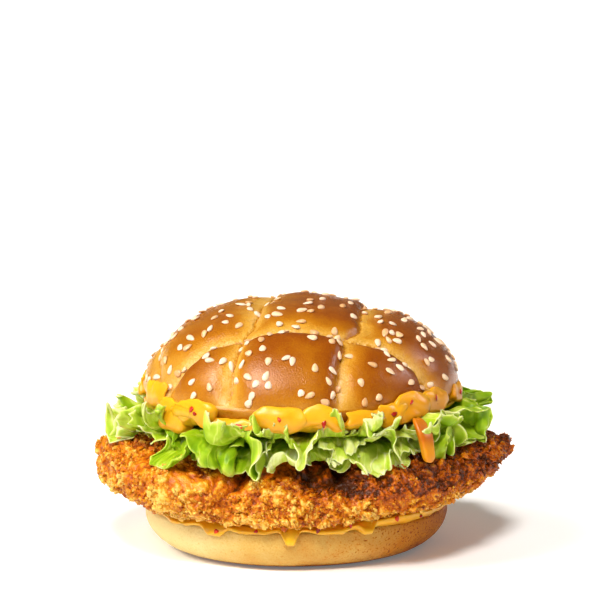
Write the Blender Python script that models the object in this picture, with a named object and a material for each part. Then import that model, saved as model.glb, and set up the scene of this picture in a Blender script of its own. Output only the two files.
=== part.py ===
"""A crispy chicken burger, stacked the way it is made: heel of the bun, sauce, a breaded fillet that is
wider than the bun, two layers of frilly lettuce leaves, more sauce, and a creased crown.

Metres, +Z up. The origin is the middle of the heel's flat underside. The front is -Y, and angles round
the burger are in degrees from +X, so the front is at 270. Every piece is a surface of two numbers: the
angle round the burger and the place along its section."""

import math

import bmesh
import bpy
import numpy as np

MM = 0.001

# A baked bun is a little out of round: waves a turn, share of the radius and where the wave starts.
BUN_WAVES = ((2, 0.006, 0.6), (3, 0.004, 2.0))

# Heel: a low round slice with a soft lower edge and a cut top.
HEEL_RADIUS = 51.2 * MM
HEEL_LOWER_ROUND = 11.6 * MM
HEEL_UPPER_ROUND = 2.0 * MM
HEEL_UPPER_QUARTER = HEEL_UPPER_ROUND * math.pi / 2
HEEL_HEIGHT = 14.6 * MM

# Crown: half an ellipsoid over a rounded rim and a cut underside.
CROWN_RADIUS = 52.2 * MM
CROWN_BASE_RADIUS = 47.0 * MM
CROWN_BASE = 49.6 * MM
CROWN_WIDEST = 54.7 * MM
CROWN_TOP = 83.4 * MM

# The creases between the crown's pillows: upright planes, each with the heading of its line in plan,
# its distance from the middle and its share of the full depth.
CREASE_DEPTH = 3.4 * MM
CREASE_WIDTH = 4.6 * MM
CREASE_POWER = 1.3
# The heights between which a crease fades out towards the rim.
CREASE_ENDS = (52.7 * MM, 60.7 * MM)
# By what share the creases are shallower at the top of the dome, and how far down that lasts.
CREASE_TOP_FADE = 0.6
CREASE_TOP_RADIUS = 26.0 * MM
CREASES = (
    {"heading": 81.0, "offset": 15.3 * MM, "share": 0.9},
    {"heading": 84.0, "offset": -17.5 * MM, "share": 0.9},
    {"heading": -1.5, "offset": -29.5 * MM, "share": 1.0},
    {"heading": 2.5, "offset": 25.0 * MM, "share": 0.9},
    {"heading": 86.0, "offset": 46.5 * MM, "share": 0.5},
)

# Fillet: a squared oval in plan, bowed up at both ends, resting flat on the sauce.
FILLET_HALF_LENGTH = 68.0 * MM
FILLET_HALF_DEPTH = 56.5 * MM
FILLET_REST = 16.1 * MM
FILLET_EDGE = 24.8 * MM
FILLET_TOP = 40.6 * MM
FILLET_PLAN_POWER = 2.3
# How square the section is above and below its edge; 2 is a plain ellipse.
FILLET_TOP_POWER = 2.4
FILLET_UNDER_POWER = 4.6
# Lumps in its outline: waves a turn, height and where the wave starts.
FILLET_LUMPS = ((5, 1.1 * MM, 0.8), (8, 0.9 * MM, 2.1))
# The tip at the right end: its angle, half width in degrees and length.
FILLET_TIP = (2, 11, 2.2 * MM)
# The lift of each end: the distance from the middle where it starts, its run, height and power.
FILLET_LEFT_LIFT = (18 * MM, 50 * MM, 3.8 * MM, 1.3)
FILLET_RIGHT_LIFT = (35 * MM, 35 * MM, 9.0 * MM, 2)
# The share by which it thins towards the right tip, and the places where that starts and ends.
FILLET_THINNING = (0.65, 54 * MM, 72 * MM)
# How far the edge hangs lower than the heel's top at the front and back, outside the heel.
FILLET_DROOP = 2.2 * MM
# Raised places on its top: x, y, radius and height.
FILLET_HUMPS = (
    (-64 * MM, -8 * MM, 9 * MM, 4.5 * MM),
    (56 * MM, -6 * MM, 9 * MM, 3.5 * MM),
)
# Large lumps of breading round the edge: their height, the radii between which they grow, and crossed
# waves, each with its x, y and z wave numbers in radians a millimetre and where it starts.
CRAG_HEIGHT = 1.3 * MM
CRAG_RADII = (38 * MM, 54 * MM)
CRAG_WAVES = (
    (0.52, 0.21, 0.33, 0.4), (-0.27, 0.49, 0.18, 1.9), (0.12, -0.36, 0.55, 3.1), (0.71, 0.64, -0.2, 5.0),
)

# Sauce: a film between two pieces that squeezes out round the edge in lobes.
LOWER_FILM = (14.95 * MM, 15.8 * MM)
LOWER_LIP = 0.85 * MM
LOWER_RUN = 9.0 * MM
UPPER_FILM = (46.8 * MM, 49.1 * MM)
UPPER_LIP = (0.9 * MM, 3.6 * MM)
UPPER_GAP = 0.85 * MM
# How far round the crown's rim a full lobe runs, and its nose beyond that, in degrees.
UPPER_TURN = 104
UPPER_NOSE = 7
# Each lobe: the angle round the burger, its half width in degrees and how far it runs, 0 to 1.
LEAST_LOBE = 0.2
LOWER_LOBES = (
    (231, 9, 0.35), (240, 6, 0.62), (254, 10, 0.32), (268, 6, 0.78), (283, 9, 0.34), (302, 8, 0.45),
    (318, 8, 0.32), (12, 9, 0.4), (58, 7, 0.7), (96, 11, 0.4), (131, 6, 0.8), (165, 9, 0.35),
)
UPPER_LOBES = (
    (199, 9, 0.8), (226, 12, 1.0), (260, 9, 0.95), (277, 8, 0.8), (293, 8, 0.75), (314, 12, 1.0),
    (352, 10, 0.6), (28, 9, 0.8), (64, 12, 0.9), (101, 9, 0.7), (134, 10, 0.95), (166, 9, 0.6),
)

# Lettuce: fans of leaf that start near the middle and end in a frill outside the bun.
LEAF_THICKNESS = 0.8 * MM
LEAF_HEART = 5.0 * MM
LEAF_FOLD_RADIUS = 45.0 * MM
LEAF_RIM_OVAL = 3.2 * MM
LEAF_CLEARANCE = 0.95 * MM
LEAF_SAUCE_CLEARANCE = 1.25 * MM
# The level that parts the two layers of leaves: near the middle, and how far it falls outwards.
LEAF_DIVIDE = 43.6 * MM
LEAF_DIVIDE_FALL = 1.8 * MM
LEAF_DIVIDE_GAP = 0.75 * MM
# The two layers: the height of the flat part, how far the rim falls at the front and back, the radius
# of the rim and how widely the rim's heading swings, in radians.
LAYERS = {
    "lower": {"height": 42.3 * MM, "fall": 6.0 * MM, "rim": 59.8 * MM, "swing": 1.2},
    "upper": {"height": 45.3 * MM, "fall": 0.8 * MM, "rim": 59.4 * MM, "swing": 1.3},
}
HEART_SWING = 0.2
# The frills are uneven by waves of this share and number along a leaf, and fade over its two ends.
FRILL_UNEVEN = (0.6, 1.7)
FRILL_FADE = 0.1
# Each leaf: its layer, its angles round the burger, its number of frills, where they start, and the
# places where its rim stands up, as an angle, a half width in degrees, a height and a step inwards.
LEAVES = {
    "lettuce_lower_left": {
        "layer": "lower", "span": (137, 246), "frills": 7, "turn": 0.4, "stands": (),
    },
    "lettuce_lower_right": {
        "layer": "lower", "span": (250, 355), "frills": 7, "turn": 2.2, "stands": (),
    },
    "lettuce_lower_back": {
        "layer": "lower", "span": (-1, 133), "frills": 7, "turn": 1.1,
        "stands": ((62, 14, 3.0 * MM, 0.0),),
    },
    "lettuce_upper_front": {
        "layer": "upper", "span": (182, 292), "frills": 7, "turn": 2.9,
        "stands": ((207, 10, 7.0 * MM, 0.5 * MM), (244, 6, 4.0 * MM, 0.0)),
    },
    "lettuce_upper_right": {
        "layer": "upper", "span": (296, 418), "frills": 7, "turn": 0.0,
        "stands": ((341, 13, 7.0 * MM, 0.0),),
    },
    "lettuce_upper_back": {
        "layer": "upper", "span": (62, 178), "frills": 7, "turn": 1.7,
        "stands": ((150, 12, 6.0 * MM, 0.0),),
    },
}

# How finely the solids are faceted.
HEEL_TURNS = 56
CROWN_TURNS = 60
FILLET_TURNS = 52
CROWN_STEPS = 11
FILLET_STEPS = 14
LEAF_STEPS_PER_FRILL = 6
LEAF_ROWS = (0.0, 0.68, 0.9, 1.0)

CRUST = {"colour": (0.62, 0.27, 0.06), "roughness": 0.4}
CRUMB = {"colour": (0.83, 0.58, 0.27), "roughness": 0.75}
BREADING = {"colour": (0.66, 0.30, 0.07), "roughness": 0.65}
SAUCE = {"colour": (0.95, 0.58, 0.08), "roughness": 0.2}
LETTUCE = {"colour": (0.36, 0.62, 0.09), "roughness": 0.4}


def smooth_step(value, low, high):
    """0 below low, 1 above high, and an even ramp between them."""
    share = min(1.0, max(0.0, (value - low) / (high - low)))
    return share * share * (3 - 2 * share)


def bump(angle, middle, half_width):
    """A bell round one angle, in degrees, that wraps at the full turn."""
    away = (angle - middle + 180) % 360 - 180
    return math.exp(-((away / half_width) ** 2))


def lobe_reach(angle, lobes):
    """How far the sauce runs at an angle: the tallest lobe there, smoothly joined."""
    total = sum((height * bump(angle, middle, width)) ** 3 for middle, width, height in lobes)
    return min(1.0, (LEAST_LOBE**3 + total) ** (1 / 3))


def bun_wobble(angle):
    """The share by which the bun is out of round at an angle."""
    turn = math.radians(angle)
    return 1 + sum(share * math.sin(waves * turn + start) for waves, share, start in BUN_WAVES)


def material(name, colour, roughness):
    """A plain Principled material."""
    made = bpy.data.materials.new(name)
    made.use_nodes = True
    shader = made.node_tree.nodes["Principled BSDF"]
    shader.inputs["Base Color"].default_value = (*colour, 1.0)
    shader.inputs["Roughness"].default_value = roughness
    return made


def add_node(name, mesh, finish):
    """The mesh as a named object with its material, shaded smooth."""
    piece = bpy.data.objects.new(name, mesh)
    bpy.context.scene.collection.objects.link(piece)
    mesh.materials.append(finish)
    mesh.shade_smooth()
    return piece


def turned(name, section_at, steps):
    """A closed round piece. section_at(angle) gives the points (radius, height) of its section from the
    top of the axis, round the outside, to the bottom of the axis. The first and last are on the axis."""
    form = bmesh.new()
    rings = []
    for step in range(steps):
        angle = 360 * step / steps
        turn = math.radians(angle)
        section = section_at(angle)
        ring = [
            form.verts.new((radius * math.cos(turn), radius * math.sin(turn), height))
            for radius, height in section[1:-1]
        ]
        rings.append(ring)
    top = form.verts.new((0, 0, section[0][1]))
    bottom = form.verts.new((0, 0, section[-1][1]))
    for here, there in zip(rings, rings[1:] + rings[:1]):
        form.faces.new((top, here[0], there[0]))
        form.faces.new((bottom, there[-1], here[-1]))
        for row in range(len(here) - 1):
            form.faces.new((here[row], here[row + 1], there[row + 1], there[row]))
    bmesh.ops.recalc_face_normals(form, faces=form.faces)
    mesh = bpy.data.meshes.new(name)
    form.to_mesh(mesh)
    form.free()
    return mesh


def heel_rim_point(run, offset):
    """A point a way down the heel's edge, moved out from it: round the upper round, then straight down."""
    turn = min(run / HEEL_UPPER_ROUND, math.pi / 2)
    out = HEEL_UPPER_ROUND + offset
    return (
        HEEL_RADIUS - HEEL_UPPER_ROUND + out * math.sin(turn),
        HEEL_HEIGHT - HEEL_UPPER_ROUND + out * math.cos(turn) - max(0.0, run - HEEL_UPPER_QUARTER),
    )


def heel_section(angle):
    """Cut top, small upper round, upright side, soft lower round and the flat spot that it rests on."""
    wobble = bun_wobble(angle)
    lower = HEEL_RADIUS - HEEL_LOWER_ROUND
    points = [(0, HEEL_HEIGHT)]
    points += [heel_rim_point(share * HEEL_UPPER_QUARTER, 0) for share in (0, 0.5, 1)]
    for degrees in (0, 30, 60, 90):
        turn = math.radians(degrees)
        points.append((
            lower + HEEL_LOWER_ROUND * math.cos(turn),
            HEEL_LOWER_ROUND * (1 - math.sin(turn)),
        ))
    points.append((0, 0))
    return [(radius * wobble, height) for radius, height in points]


def lower_sauce_section(angle):
    """A film on the heel's cut top that follows the heel's edge down as far as its lobe runs."""
    wobble = bun_wobble(angle)
    low, high = LOWER_FILM
    gap = low - HEEL_HEIGHT
    run = LOWER_RUN * lobe_reach(angle, LOWER_LOBES)
    quarter = HEEL_UPPER_QUARTER
    runs = (0, min(quarter / 2, run * 0.4), min(quarter, run * 0.8), run)
    outer = [heel_rim_point(part, gap + LOWER_LIP) for part in runs]
    inner = [heel_rim_point(part, gap) for part in reversed(runs)]
    end = heel_rim_point(run + LOWER_LIP / 2, gap + LOWER_LIP / 2)
    points = [(0, high), *outer, end, *inner, (0, low)]
    return [(radius * wobble, height) for radius, height in points]


def crown_rim_point(turn, offset):
    """A point on the crown's rounded rim, moved out from it. turn is 90 degrees at the cut underside and
    0 at the widest level."""
    across = CROWN_RADIUS - CROWN_BASE_RADIUS + offset
    down = CROWN_WIDEST - CROWN_BASE + offset
    return (
        CROWN_BASE_RADIUS + across * math.cos(math.radians(turn)),
        CROWN_WIDEST - down * math.sin(math.radians(turn)),
    )


def upper_lip(reach):
    """How thick the upper sauce's lip is where its lobe has this reach."""
    thin, thick = UPPER_LIP
    return thin + (thick - thin) * reach


def upper_sauce_section(angle):
    """A film under the crown that follows the crown's rim outwards as far as its lobe reaches, and is
    fatter the further it runs."""
    wobble = bun_wobble(angle)
    reach = lobe_reach(angle, UPPER_LOBES)
    low, high = UPPER_FILM
    end = 90 - UPPER_TURN * reach
    lip = upper_lip(reach)
    points = [(0, high)]
    for share in (0, 0.4, 0.75, 1):
        points.append(crown_rim_point(90 + (end - 90) * share, UPPER_GAP))
    points.append(crown_rim_point(end - UPPER_NOSE * reach, UPPER_GAP + lip * 0.45))
    for share in (0.97, 0.65, 0.3, 0):
        points.append(crown_rim_point(90 + (end - 90) * share, UPPER_GAP + lip))
    points += [(CROWN_BASE_RADIUS * 0.85, low), (0, low)]
    return [(radius * wobble, height) for radius, height in points]


def sauce_floor(radius, angle):
    """The lowest height of the upper sauce at a place, which what lies under it keeps below."""
    offset = UPPER_GAP + upper_lip(lobe_reach(angle, UPPER_LOBES))
    across = CROWN_RADIUS - CROWN_BASE_RADIUS + offset
    share = max(0.0, radius - CROWN_BASE_RADIUS - 1 * MM) / across
    if share >= 1:
        return 1.0
    down = CROWN_WIDEST - CROWN_BASE + offset
    return min(UPPER_FILM[0], CROWN_WIDEST - down * math.sqrt(1 - share**2))


def crease_sink(x, y):
    """How deep the crown's surface is sunk at a place in plan: the creases' valleys, joined smoothly."""
    proud = 1.0
    for crease in CREASES:
        heading = math.radians(crease["heading"])
        away = y * math.cos(heading) - x * math.sin(heading) - crease["offset"]
        valley = math.exp(-((abs(away) / CREASE_WIDTH) ** CREASE_POWER))
        proud *= 1 - crease["share"] * valley
    fade = CREASE_TOP_FADE * math.exp(-(x * x + y * y) / CREASE_TOP_RADIUS**2)
    return CREASE_DEPTH * (1 - proud) * (1 - fade)


def crown_section(angle):
    """Dome with its creases sunk along the surface's normal, rounded rim and cut underside."""
    wobble = bun_wobble(angle)
    rise = CROWN_TOP - CROWN_WIDEST
    turn = math.radians(angle)
    points = []
    for step in range(CROWN_STEPS + 1):
        tilt = math.radians(90 * step / CROWN_STEPS)
        out, up = math.sin(tilt), math.cos(tilt)
        radius = CROWN_RADIUS * out
        height = CROWN_WIDEST + rise * up
        normal = np.array((out / CROWN_RADIUS, up / rise))
        normal /= np.linalg.norm(normal)
        sink = crease_sink(radius * math.cos(turn), radius * math.sin(turn))
        sink *= smooth_step(height, *CREASE_ENDS)
        points.append((radius - sink * normal[0], height - sink * normal[1]))
    for degrees in (30, 60, 90):
        points.append(crown_rim_point(degrees, 0))
    points.append((0, CROWN_BASE))
    return [(radius * wobble, height) for radius, height in points]


def fillet_reach(turn):
    """The fillet's outline in plan: a squared oval with lumps, and a tip at its right end."""
    oval = (
        abs(math.cos(turn) / FILLET_HALF_LENGTH) ** FILLET_PLAN_POWER
        + abs(math.sin(turn) / FILLET_HALF_DEPTH) ** FILLET_PLAN_POWER
    ) ** (-1 / FILLET_PLAN_POWER)
    lumps = sum(height * math.sin(waves * turn + start) for waves, height, start in FILLET_LUMPS)
    middle, width, length = FILLET_TIP
    return oval + lumps + length * bump(math.degrees(turn), middle, width)


def crag(x, y, z):
    """Large lumps of breading, between -1 and 1: the mean of the crossed waves."""
    total = sum(math.sin((a * x + b * y + c * z) / MM + start) for a, b, c, start in CRAG_WAVES)
    return total / len(CRAG_WAVES)


def end_lift(away, lift):
    """The rise of one end of the fillet at a distance from the middle."""
    start, run, height, power = lift
    return height * max(0.0, (away - start) / run) ** power


def fillet_lift(x):
    """How far the fillet's middle is bowed up towards its two ends."""
    return end_lift(-x, FILLET_LEFT_LIFT) + end_lift(x, FILLET_RIGHT_LIFT)


def fillet_half(x, y):
    """The fillet's thickness above its edge, with its humps. It thins towards the tip at the right."""
    share, start, end = FILLET_THINNING
    half = (FILLET_TOP - FILLET_EDGE) * (1 - share * smooth_step(x, start, end))
    for middle_x, middle_y, radius, height in FILLET_HUMPS:
        half += height * math.exp(-((x - middle_x) ** 2 + (y - middle_y) ** 2) / radius**2)
    return half


def fillet_section(angle):
    """Domed top, blunt crumbed edge and a flat underside where it rests, lifted towards both ends."""
    turn = math.radians(angle)
    reach = fillet_reach(turn)
    points = []
    for step in range(FILLET_STEPS + 1):
        tilt = math.pi * step / FILLET_STEPS
        power = FILLET_TOP_POWER if tilt < math.pi / 2 else FILLET_UNDER_POWER
        out = abs(math.sin(tilt)) ** (2 / power)
        up = math.copysign(abs(math.cos(tilt)) ** (2 / power), math.cos(tilt))
        radius = reach * out
        x, y = radius * math.cos(turn), radius * math.sin(turn)
        half = fillet_half(x, y) if up > 0 else FILLET_EDGE - FILLET_REST
        height = FILLET_EDGE + fillet_lift(x) + half * up
        rough = CRAG_HEIGHT * crag(x, y, height) * smooth_step(radius, *CRAG_RADII)
        radius += rough * out
        outside = smooth_step(radius, HEEL_RADIUS + 1 * MM, HEEL_RADIUS + 5 * MM)
        height -= FILLET_DROOP * math.sin(turn) ** 2 * smooth_step(radius, 40 * MM, 56 * MM)
        height = max(height + rough * up, FILLET_REST - FILLET_DROOP * outside)
        points.append((radius, height))
    return points


def fillet_ceiling(radius, turn):
    """The height of the fillet's top at a place, which what lies on it keeps above."""
    share = max(0.0, radius / fillet_reach(turn) - 0.015)
    if share >= 1:
        return 0.0
    rise = (1 - share**FILLET_TOP_POWER) ** (1 / FILLET_TOP_POWER)
    x, y = radius * math.cos(turn), radius * math.sin(turn)
    rough = CRAG_HEIGHT * smooth_step(radius, *CRAG_RADII)
    return FILLET_EDGE + fillet_lift(x) + fillet_half(x, y) * rise + rough


def leaf_divide(radius, turn):
    """The height between the two layers of leaves at a place, clear of the fillet."""
    level = LEAF_DIVIDE - LEAF_DIVIDE_FALL * smooth_step(radius, 38 * MM, 54 * MM)
    return max(level, fillet_ceiling(radius, turn) + LEAF_CLEARANCE + 2 * LEAF_DIVIDE_GAP)


def leaf_rim(angle, leaf):
    """The radius of a leaf's rim: wider at the sides, and drawn in where it stands up."""
    inwards = sum(step * bump(angle, middle, width) for middle, width, _, step in leaf["stands"])
    oval = LEAF_RIM_OVAL * math.cos(math.radians(2 * angle))
    return LAYERS[leaf["layer"]]["rim"] + oval - inwards


def leaf_height(leaf, row, radius, angle, frill):
    """A leaf's height: flat, then falling or standing outside the fold, raised by its frill, and kept
    clear of the fillet, the other layer and the sauce."""
    layer = LAYERS[leaf["layer"]]
    turn = math.radians(angle)
    rim = leaf_rim(angle, leaf)
    outside = max(0.0, (radius - LEAF_FOLD_RADIUS) / (rim - LEAF_FOLD_RADIUS))
    height = layer["height"] - layer["fall"] * math.sin(turn) ** 2 * outside**0.8 + frill
    height += sum(tall * bump(angle, middle, width) for middle, width, tall, _ in leaf["stands"]) * outside**3
    divide = leaf_divide(radius, turn)
    if leaf["layer"] == "lower":
        height = min(height, divide - LEAF_DIVIDE_GAP)
        return max(height, fillet_ceiling(radius, turn) + LEAF_CLEARANCE)
    # Only the rim reaches past the sauce, so the rows inside it stay under the sauce's lowest part.
    under = radius if row == 1 else CROWN_BASE_RADIUS
    height = max(height, divide + LEAF_DIVIDE_GAP)
    return min(height, sauce_floor(under, angle) - LEAF_SAUCE_CLEARANCE)


def leaf_rows(leaf):
    """Points of a leaf, row by row from its heart to its frilled rim.

    Along a row the leaf is a meander: its heading swings to and fro as a sine, wider the nearer the row
    is to the rim, and running sums of the heading's cosine and sine give the way round the burger and
    the height of the frill. So the rim is much longer than the heart, as a frilly leaf's is."""
    layer = LAYERS[leaf["layer"]]
    first, last = leaf["span"]
    steps = leaf["frills"] * LEAF_STEPS_PER_FRILL
    way = (np.arange(steps) + 0.5) / steps
    fade = np.minimum(1, np.minimum(way, 1 - way) / FRILL_FADE)
    share, waves = FRILL_UNEVEN
    uneven = share * np.sin(2 * math.pi * waves * way + 2 * leaf["turn"])
    wave = np.cos(2 * math.pi * leaf["frills"] * way + uneven + leaf["turn"])
    rows = []
    for row in LEAF_ROWS:
        swing = HEART_SWING + (layer["swing"] - HEART_SWING) * row**4
        heading = swing * fade * wave
        along = np.concatenate(([0], np.cumsum(np.cos(heading))))
        across = np.concatenate(([0], np.cumsum(np.sin(heading))))
        across -= across[-1] * along / along[-1]
        angles = first + (last - first) * along / along[-1]
        mid_radius = LEAF_HEART + row * (layer["rim"] - LEAF_HEART)
        across *= math.radians(last - first) * mid_radius / along[-1]
        points = []
        for angle, frill in zip(angles, across):
            turn = math.radians(angle)
            radius = LEAF_HEART + row * (leaf_rim(angle, leaf) - LEAF_HEART)
            height = leaf_height(leaf, row, radius, angle, frill)
            points.append((radius * math.cos(turn), radius * math.sin(turn), height))
        rows.append(points)
    return rows


def leaf_piece(name, leaf, finish):
    """A leaf's sheet of rows, given its thickness by a Solidify modifier."""
    form = bmesh.new()
    grid = [[form.verts.new(point) for point in row] for row in leaf_rows(leaf)]
    for inner, outer in zip(grid, grid[1:]):
        for step in range(len(inner) - 1):
            form.faces.new((inner[step], outer[step], outer[step + 1], inner[step + 1]))
    mesh = bpy.data.meshes.new(name)
    form.to_mesh(mesh)
    form.free()
    piece = add_node(name, mesh, finish)
    wall = piece.modifiers.new("thickness", "SOLIDIFY")
    wall.thickness = LEAF_THICKNESS
    wall.offset = 0
    return piece


def main():
    for old in list(bpy.data.objects):
        bpy.data.objects.remove(old)
    crust = material("crust", **CRUST)
    crumb = material("crumb", **CRUMB)
    breading = material("breading", **BREADING)
    sauce = material("sauce", **SAUCE)
    lettuce = material("lettuce", **LETTUCE)
    add_node("heel_bun", turned("heel_bun", heel_section, HEEL_TURNS), crumb)
    add_node("lower_sauce", turned("lower_sauce", lower_sauce_section, HEEL_TURNS), sauce)
    add_node("chicken_fillet", turned("chicken_fillet", fillet_section, FILLET_TURNS), breading)
    for name, leaf in LEAVES.items():
        leaf_piece(name, leaf, lettuce)
    add_node("upper_sauce", turned("upper_sauce", upper_sauce_section, CROWN_TURNS), sauce)
    add_node("crown_bun", turned("crown_bun", crown_section, CROWN_TURNS), crust)


main()
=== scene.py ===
import math

import bpy
import numpy as np
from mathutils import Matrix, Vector


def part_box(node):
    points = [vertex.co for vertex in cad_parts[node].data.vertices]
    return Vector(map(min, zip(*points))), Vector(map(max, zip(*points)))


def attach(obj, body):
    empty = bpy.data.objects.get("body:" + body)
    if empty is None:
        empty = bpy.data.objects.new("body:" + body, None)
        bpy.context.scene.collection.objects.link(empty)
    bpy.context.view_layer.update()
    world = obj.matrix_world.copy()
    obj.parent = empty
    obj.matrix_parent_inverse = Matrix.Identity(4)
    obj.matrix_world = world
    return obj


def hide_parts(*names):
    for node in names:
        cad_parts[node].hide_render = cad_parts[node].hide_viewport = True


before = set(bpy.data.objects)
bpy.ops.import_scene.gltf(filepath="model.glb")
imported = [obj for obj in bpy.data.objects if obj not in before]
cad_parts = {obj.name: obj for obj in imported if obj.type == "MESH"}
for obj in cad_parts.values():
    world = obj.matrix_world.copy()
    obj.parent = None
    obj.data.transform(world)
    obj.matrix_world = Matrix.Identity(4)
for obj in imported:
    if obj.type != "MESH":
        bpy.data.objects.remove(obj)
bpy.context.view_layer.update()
mm = 0.001
fullTurn = 2 * math.pi
goldenShare = (1 + math.sqrt(5)) / 2
heelLow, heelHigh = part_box("heel_bun")
crownLow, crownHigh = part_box("crown_bun")
filletLow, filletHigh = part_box("chicken_fillet")


def smooth(value, low, high):
    # 0 below low, 1 above high, and between them the even ramp 3 s^2 - 2 s^3
    share = np.clip((value - low) / (high - low), 0, 1)
    return share * share * (3 - 2 * share)


def bell(angle, middle, width):
    # e to the minus square of the distance from the middle in widths, wrapping at the full turn, in degrees
    away = (angle - middle + 180) % 360 - 180
    return np.exp(-((away / width) ** 2))


def keepAbove(value, floor, softness):
    # floor + softness ln(1 + e^((value - floor) / softness)), which never falls below the floor
    return floor + softness * np.logaddexp(0, (value - floor) / softness)


def unit(vectors):
    # each vector divided by its length
    return vectors / np.maximum(np.linalg.norm(vectors, axis=-1, keepdims=True), 1e-12)


def cellRandom(cell, seed):
    # a number from 0 to 1 for each whole-number cell: its coordinates times large odd numbers, bits stirred
    cell = cell.astype(np.uint64)
    mixed = cell[..., 0] * np.uint64(73856093) ^ cell[..., 1] * np.uint64(19349663)
    mixed ^= cell[..., 2] * np.uint64(83492791) ^ np.uint64(seed * 2654435761)
    for shift, factor in ((15, 2246822519), (13, 3266489917), (16, 668265263)):
        mixed ^= mixed >> np.uint64(shift)
        mixed = (mixed * np.uint64(factor)) & np.uint64(0xFFFFFFFF)
    mixed ^= mixed >> np.uint64(16)
    return mixed.astype(float) / 2**32


def cloud(points, size, seed, layers=1):
    # random numbers at the corners of a cubic grid of that size, blended smoothly, between -1 and 1;
    # each further layer has half the size and half the height of the one before
    total = 0
    height = 1.0
    for layer in range(layers):
        place = points / size + 37.7 + 11.3 * seed
        cell = np.floor(place)
        part = place - cell
        part = part * part * (3 - 2 * part)
        blend = 0
        for corner in np.ndindex(2, 2, 2):
            share = np.prod(np.where(np.array(corner) == 1, part, 1 - part), axis=-1)
            blend = blend + share * cellRandom(cell + corner, seed + layer)
        total = total + height * (2 * blend - 1)
        size, height = size / 2, height / 2
    return total


def knobs(points, size, seed):
    # one dot at a random place in each cell of a grid of that size: 1 - (distance to the nearest dot)^2
    # makes round knobs with creases between them; the second number is the knob's own random one
    place = points / size + 53.1 + 7.9 * seed
    cell = np.floor(place)
    nearest = np.full(place.shape[:-1], 9.0)
    own = np.zeros(place.shape[:-1])
    for step in np.ndindex(3, 3, 3):
        near = cell + step - 1
        dot = near + np.stack([cellRandom(near, seed + axis) for axis in (1, 2, 3)], -1)
        away = np.sum((dot - place) ** 2, axis=-1)
        closer = away < nearest
        nearest = np.where(closer, away, nearest)
        own = np.where(closer, cellRandom(near, seed + 4), own)
    return np.clip(1 - nearest, 0, 1), own


def gridFaces(rows, columns, wraps):
    # the corners of each cell of a grid of points, going down, across and up again
    count = columns if wraps else columns - 1
    row, column = np.meshgrid(np.arange(rows - 1), np.arange(count), indexing="ij")
    after = (column + 1) % columns
    corners = (row * columns + column, (row + 1) * columns + column, (row + 1) * columns + after, row * columns + after)
    return np.stack(corners, -1).reshape(-1, 4)


def fanFaces(rows, columns):
    # triangles from the top pole to the first row, and from the bottom pole to the last row
    here = np.arange(columns)
    after = (here + 1) % columns
    top, bottom = rows * columns, rows * columns + 1
    last = (rows - 1) * columns
    upper = np.stack((np.full(columns, top), here, after), -1)
    lower = np.stack((np.full(columns, bottom), last + after, last + here), -1)
    return np.concatenate((upper, lower))


def addPiece(name, points, quads, triangles, finish, slot, values):
    # puts whole arrays of points, faces and values into a mesh that rides on the burger
    mesh = bpy.data.meshes.new(name)
    corners = np.concatenate((quads.ravel(), triangles.ravel())).astype(np.int32)
    starts = np.concatenate((np.arange(len(quads)) * 4, quads.size + np.arange(len(triangles)) * 3))
    mesh.vertices.add(len(points))
    mesh.vertices.foreach_set("co", points.astype(np.float32).ravel())
    mesh.loops.add(len(corners))
    mesh.loops.foreach_set("vertex_index", corners)
    mesh.polygons.add(len(starts))
    mesh.polygons.foreach_set("loop_start", starts.astype(np.int32))
    for key, value in values.items():
        layer = mesh.attributes.new(key, "FLOAT", "POINT")
        layer.data.foreach_set("value", np.asarray(value, np.float32).ravel())
    mesh.update(calc_edges=True)
    mesh.validate()
    mesh.shade_smooth()
    mesh.materials.append(finish.material)
    piece = bpy.data.objects.new(name, mesh)
    bpy.context.scene.collection.objects.link(piece)
    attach(piece, "root")
    print("made", name, len(points), "points")
    return piece


def addRound(name, rings, poles, finish, slot, values):
    # a closed round piece from rows of points, top to bottom, and its two poles; a pole takes its row's mean value
    rows, columns = rings.shape[:2]
    points = np.concatenate((rings.reshape(-1, 3), poles))
    full = {
        key: np.concatenate((value.ravel(), [value[0].mean(), value[-1].mean()])) for key, value in values.items()
    }
    return addPiece(name, points, gridFaces(rows, columns, True), fanFaces(rows, columns), finish, slot, full)


def gridNormals(rings):
    # the cross product of the steps down and across a round grid, as unit vectors
    down = np.gradient(rings, axis=0)
    across = np.roll(rings, -1, axis=1) - np.roll(rings, 1, axis=1)
    return unit(np.cross(down, across))


def tone(red, green, blue):
    # a screen colour of 0 to 255 as the light it stands for
    share = np.array((red, green, blue)) / 255
    return tuple(float(x) for x in np.where(share <= 0.04045, share / 12.92, ((share + 0.055) / 1.055) ** 2.4)) + (1.0,)


class Wire:
    # a socket's value that can be added, taken away, multiplied and raised to a power
    def __init__(self, finish, socket):
        self.finish, self.socket = finish, socket

    def math(self, operation, first, second):
        return self.finish.node("Math", {"operation": operation}, {0: first, 1: second})

    def __add__(self, other):
        return self.math("ADD", self, other)

    __radd__ = __add__

    def __sub__(self, other):
        return self.math("SUBTRACT", self, other)

    def __rsub__(self, other):
        return self.math("SUBTRACT", other, self)

    def __mul__(self, other):
        return self.math("MULTIPLY", self, other)

    __rmul__ = __mul__

    def __pow__(self, other):
        return self.math("POWER", self, other)


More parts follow.
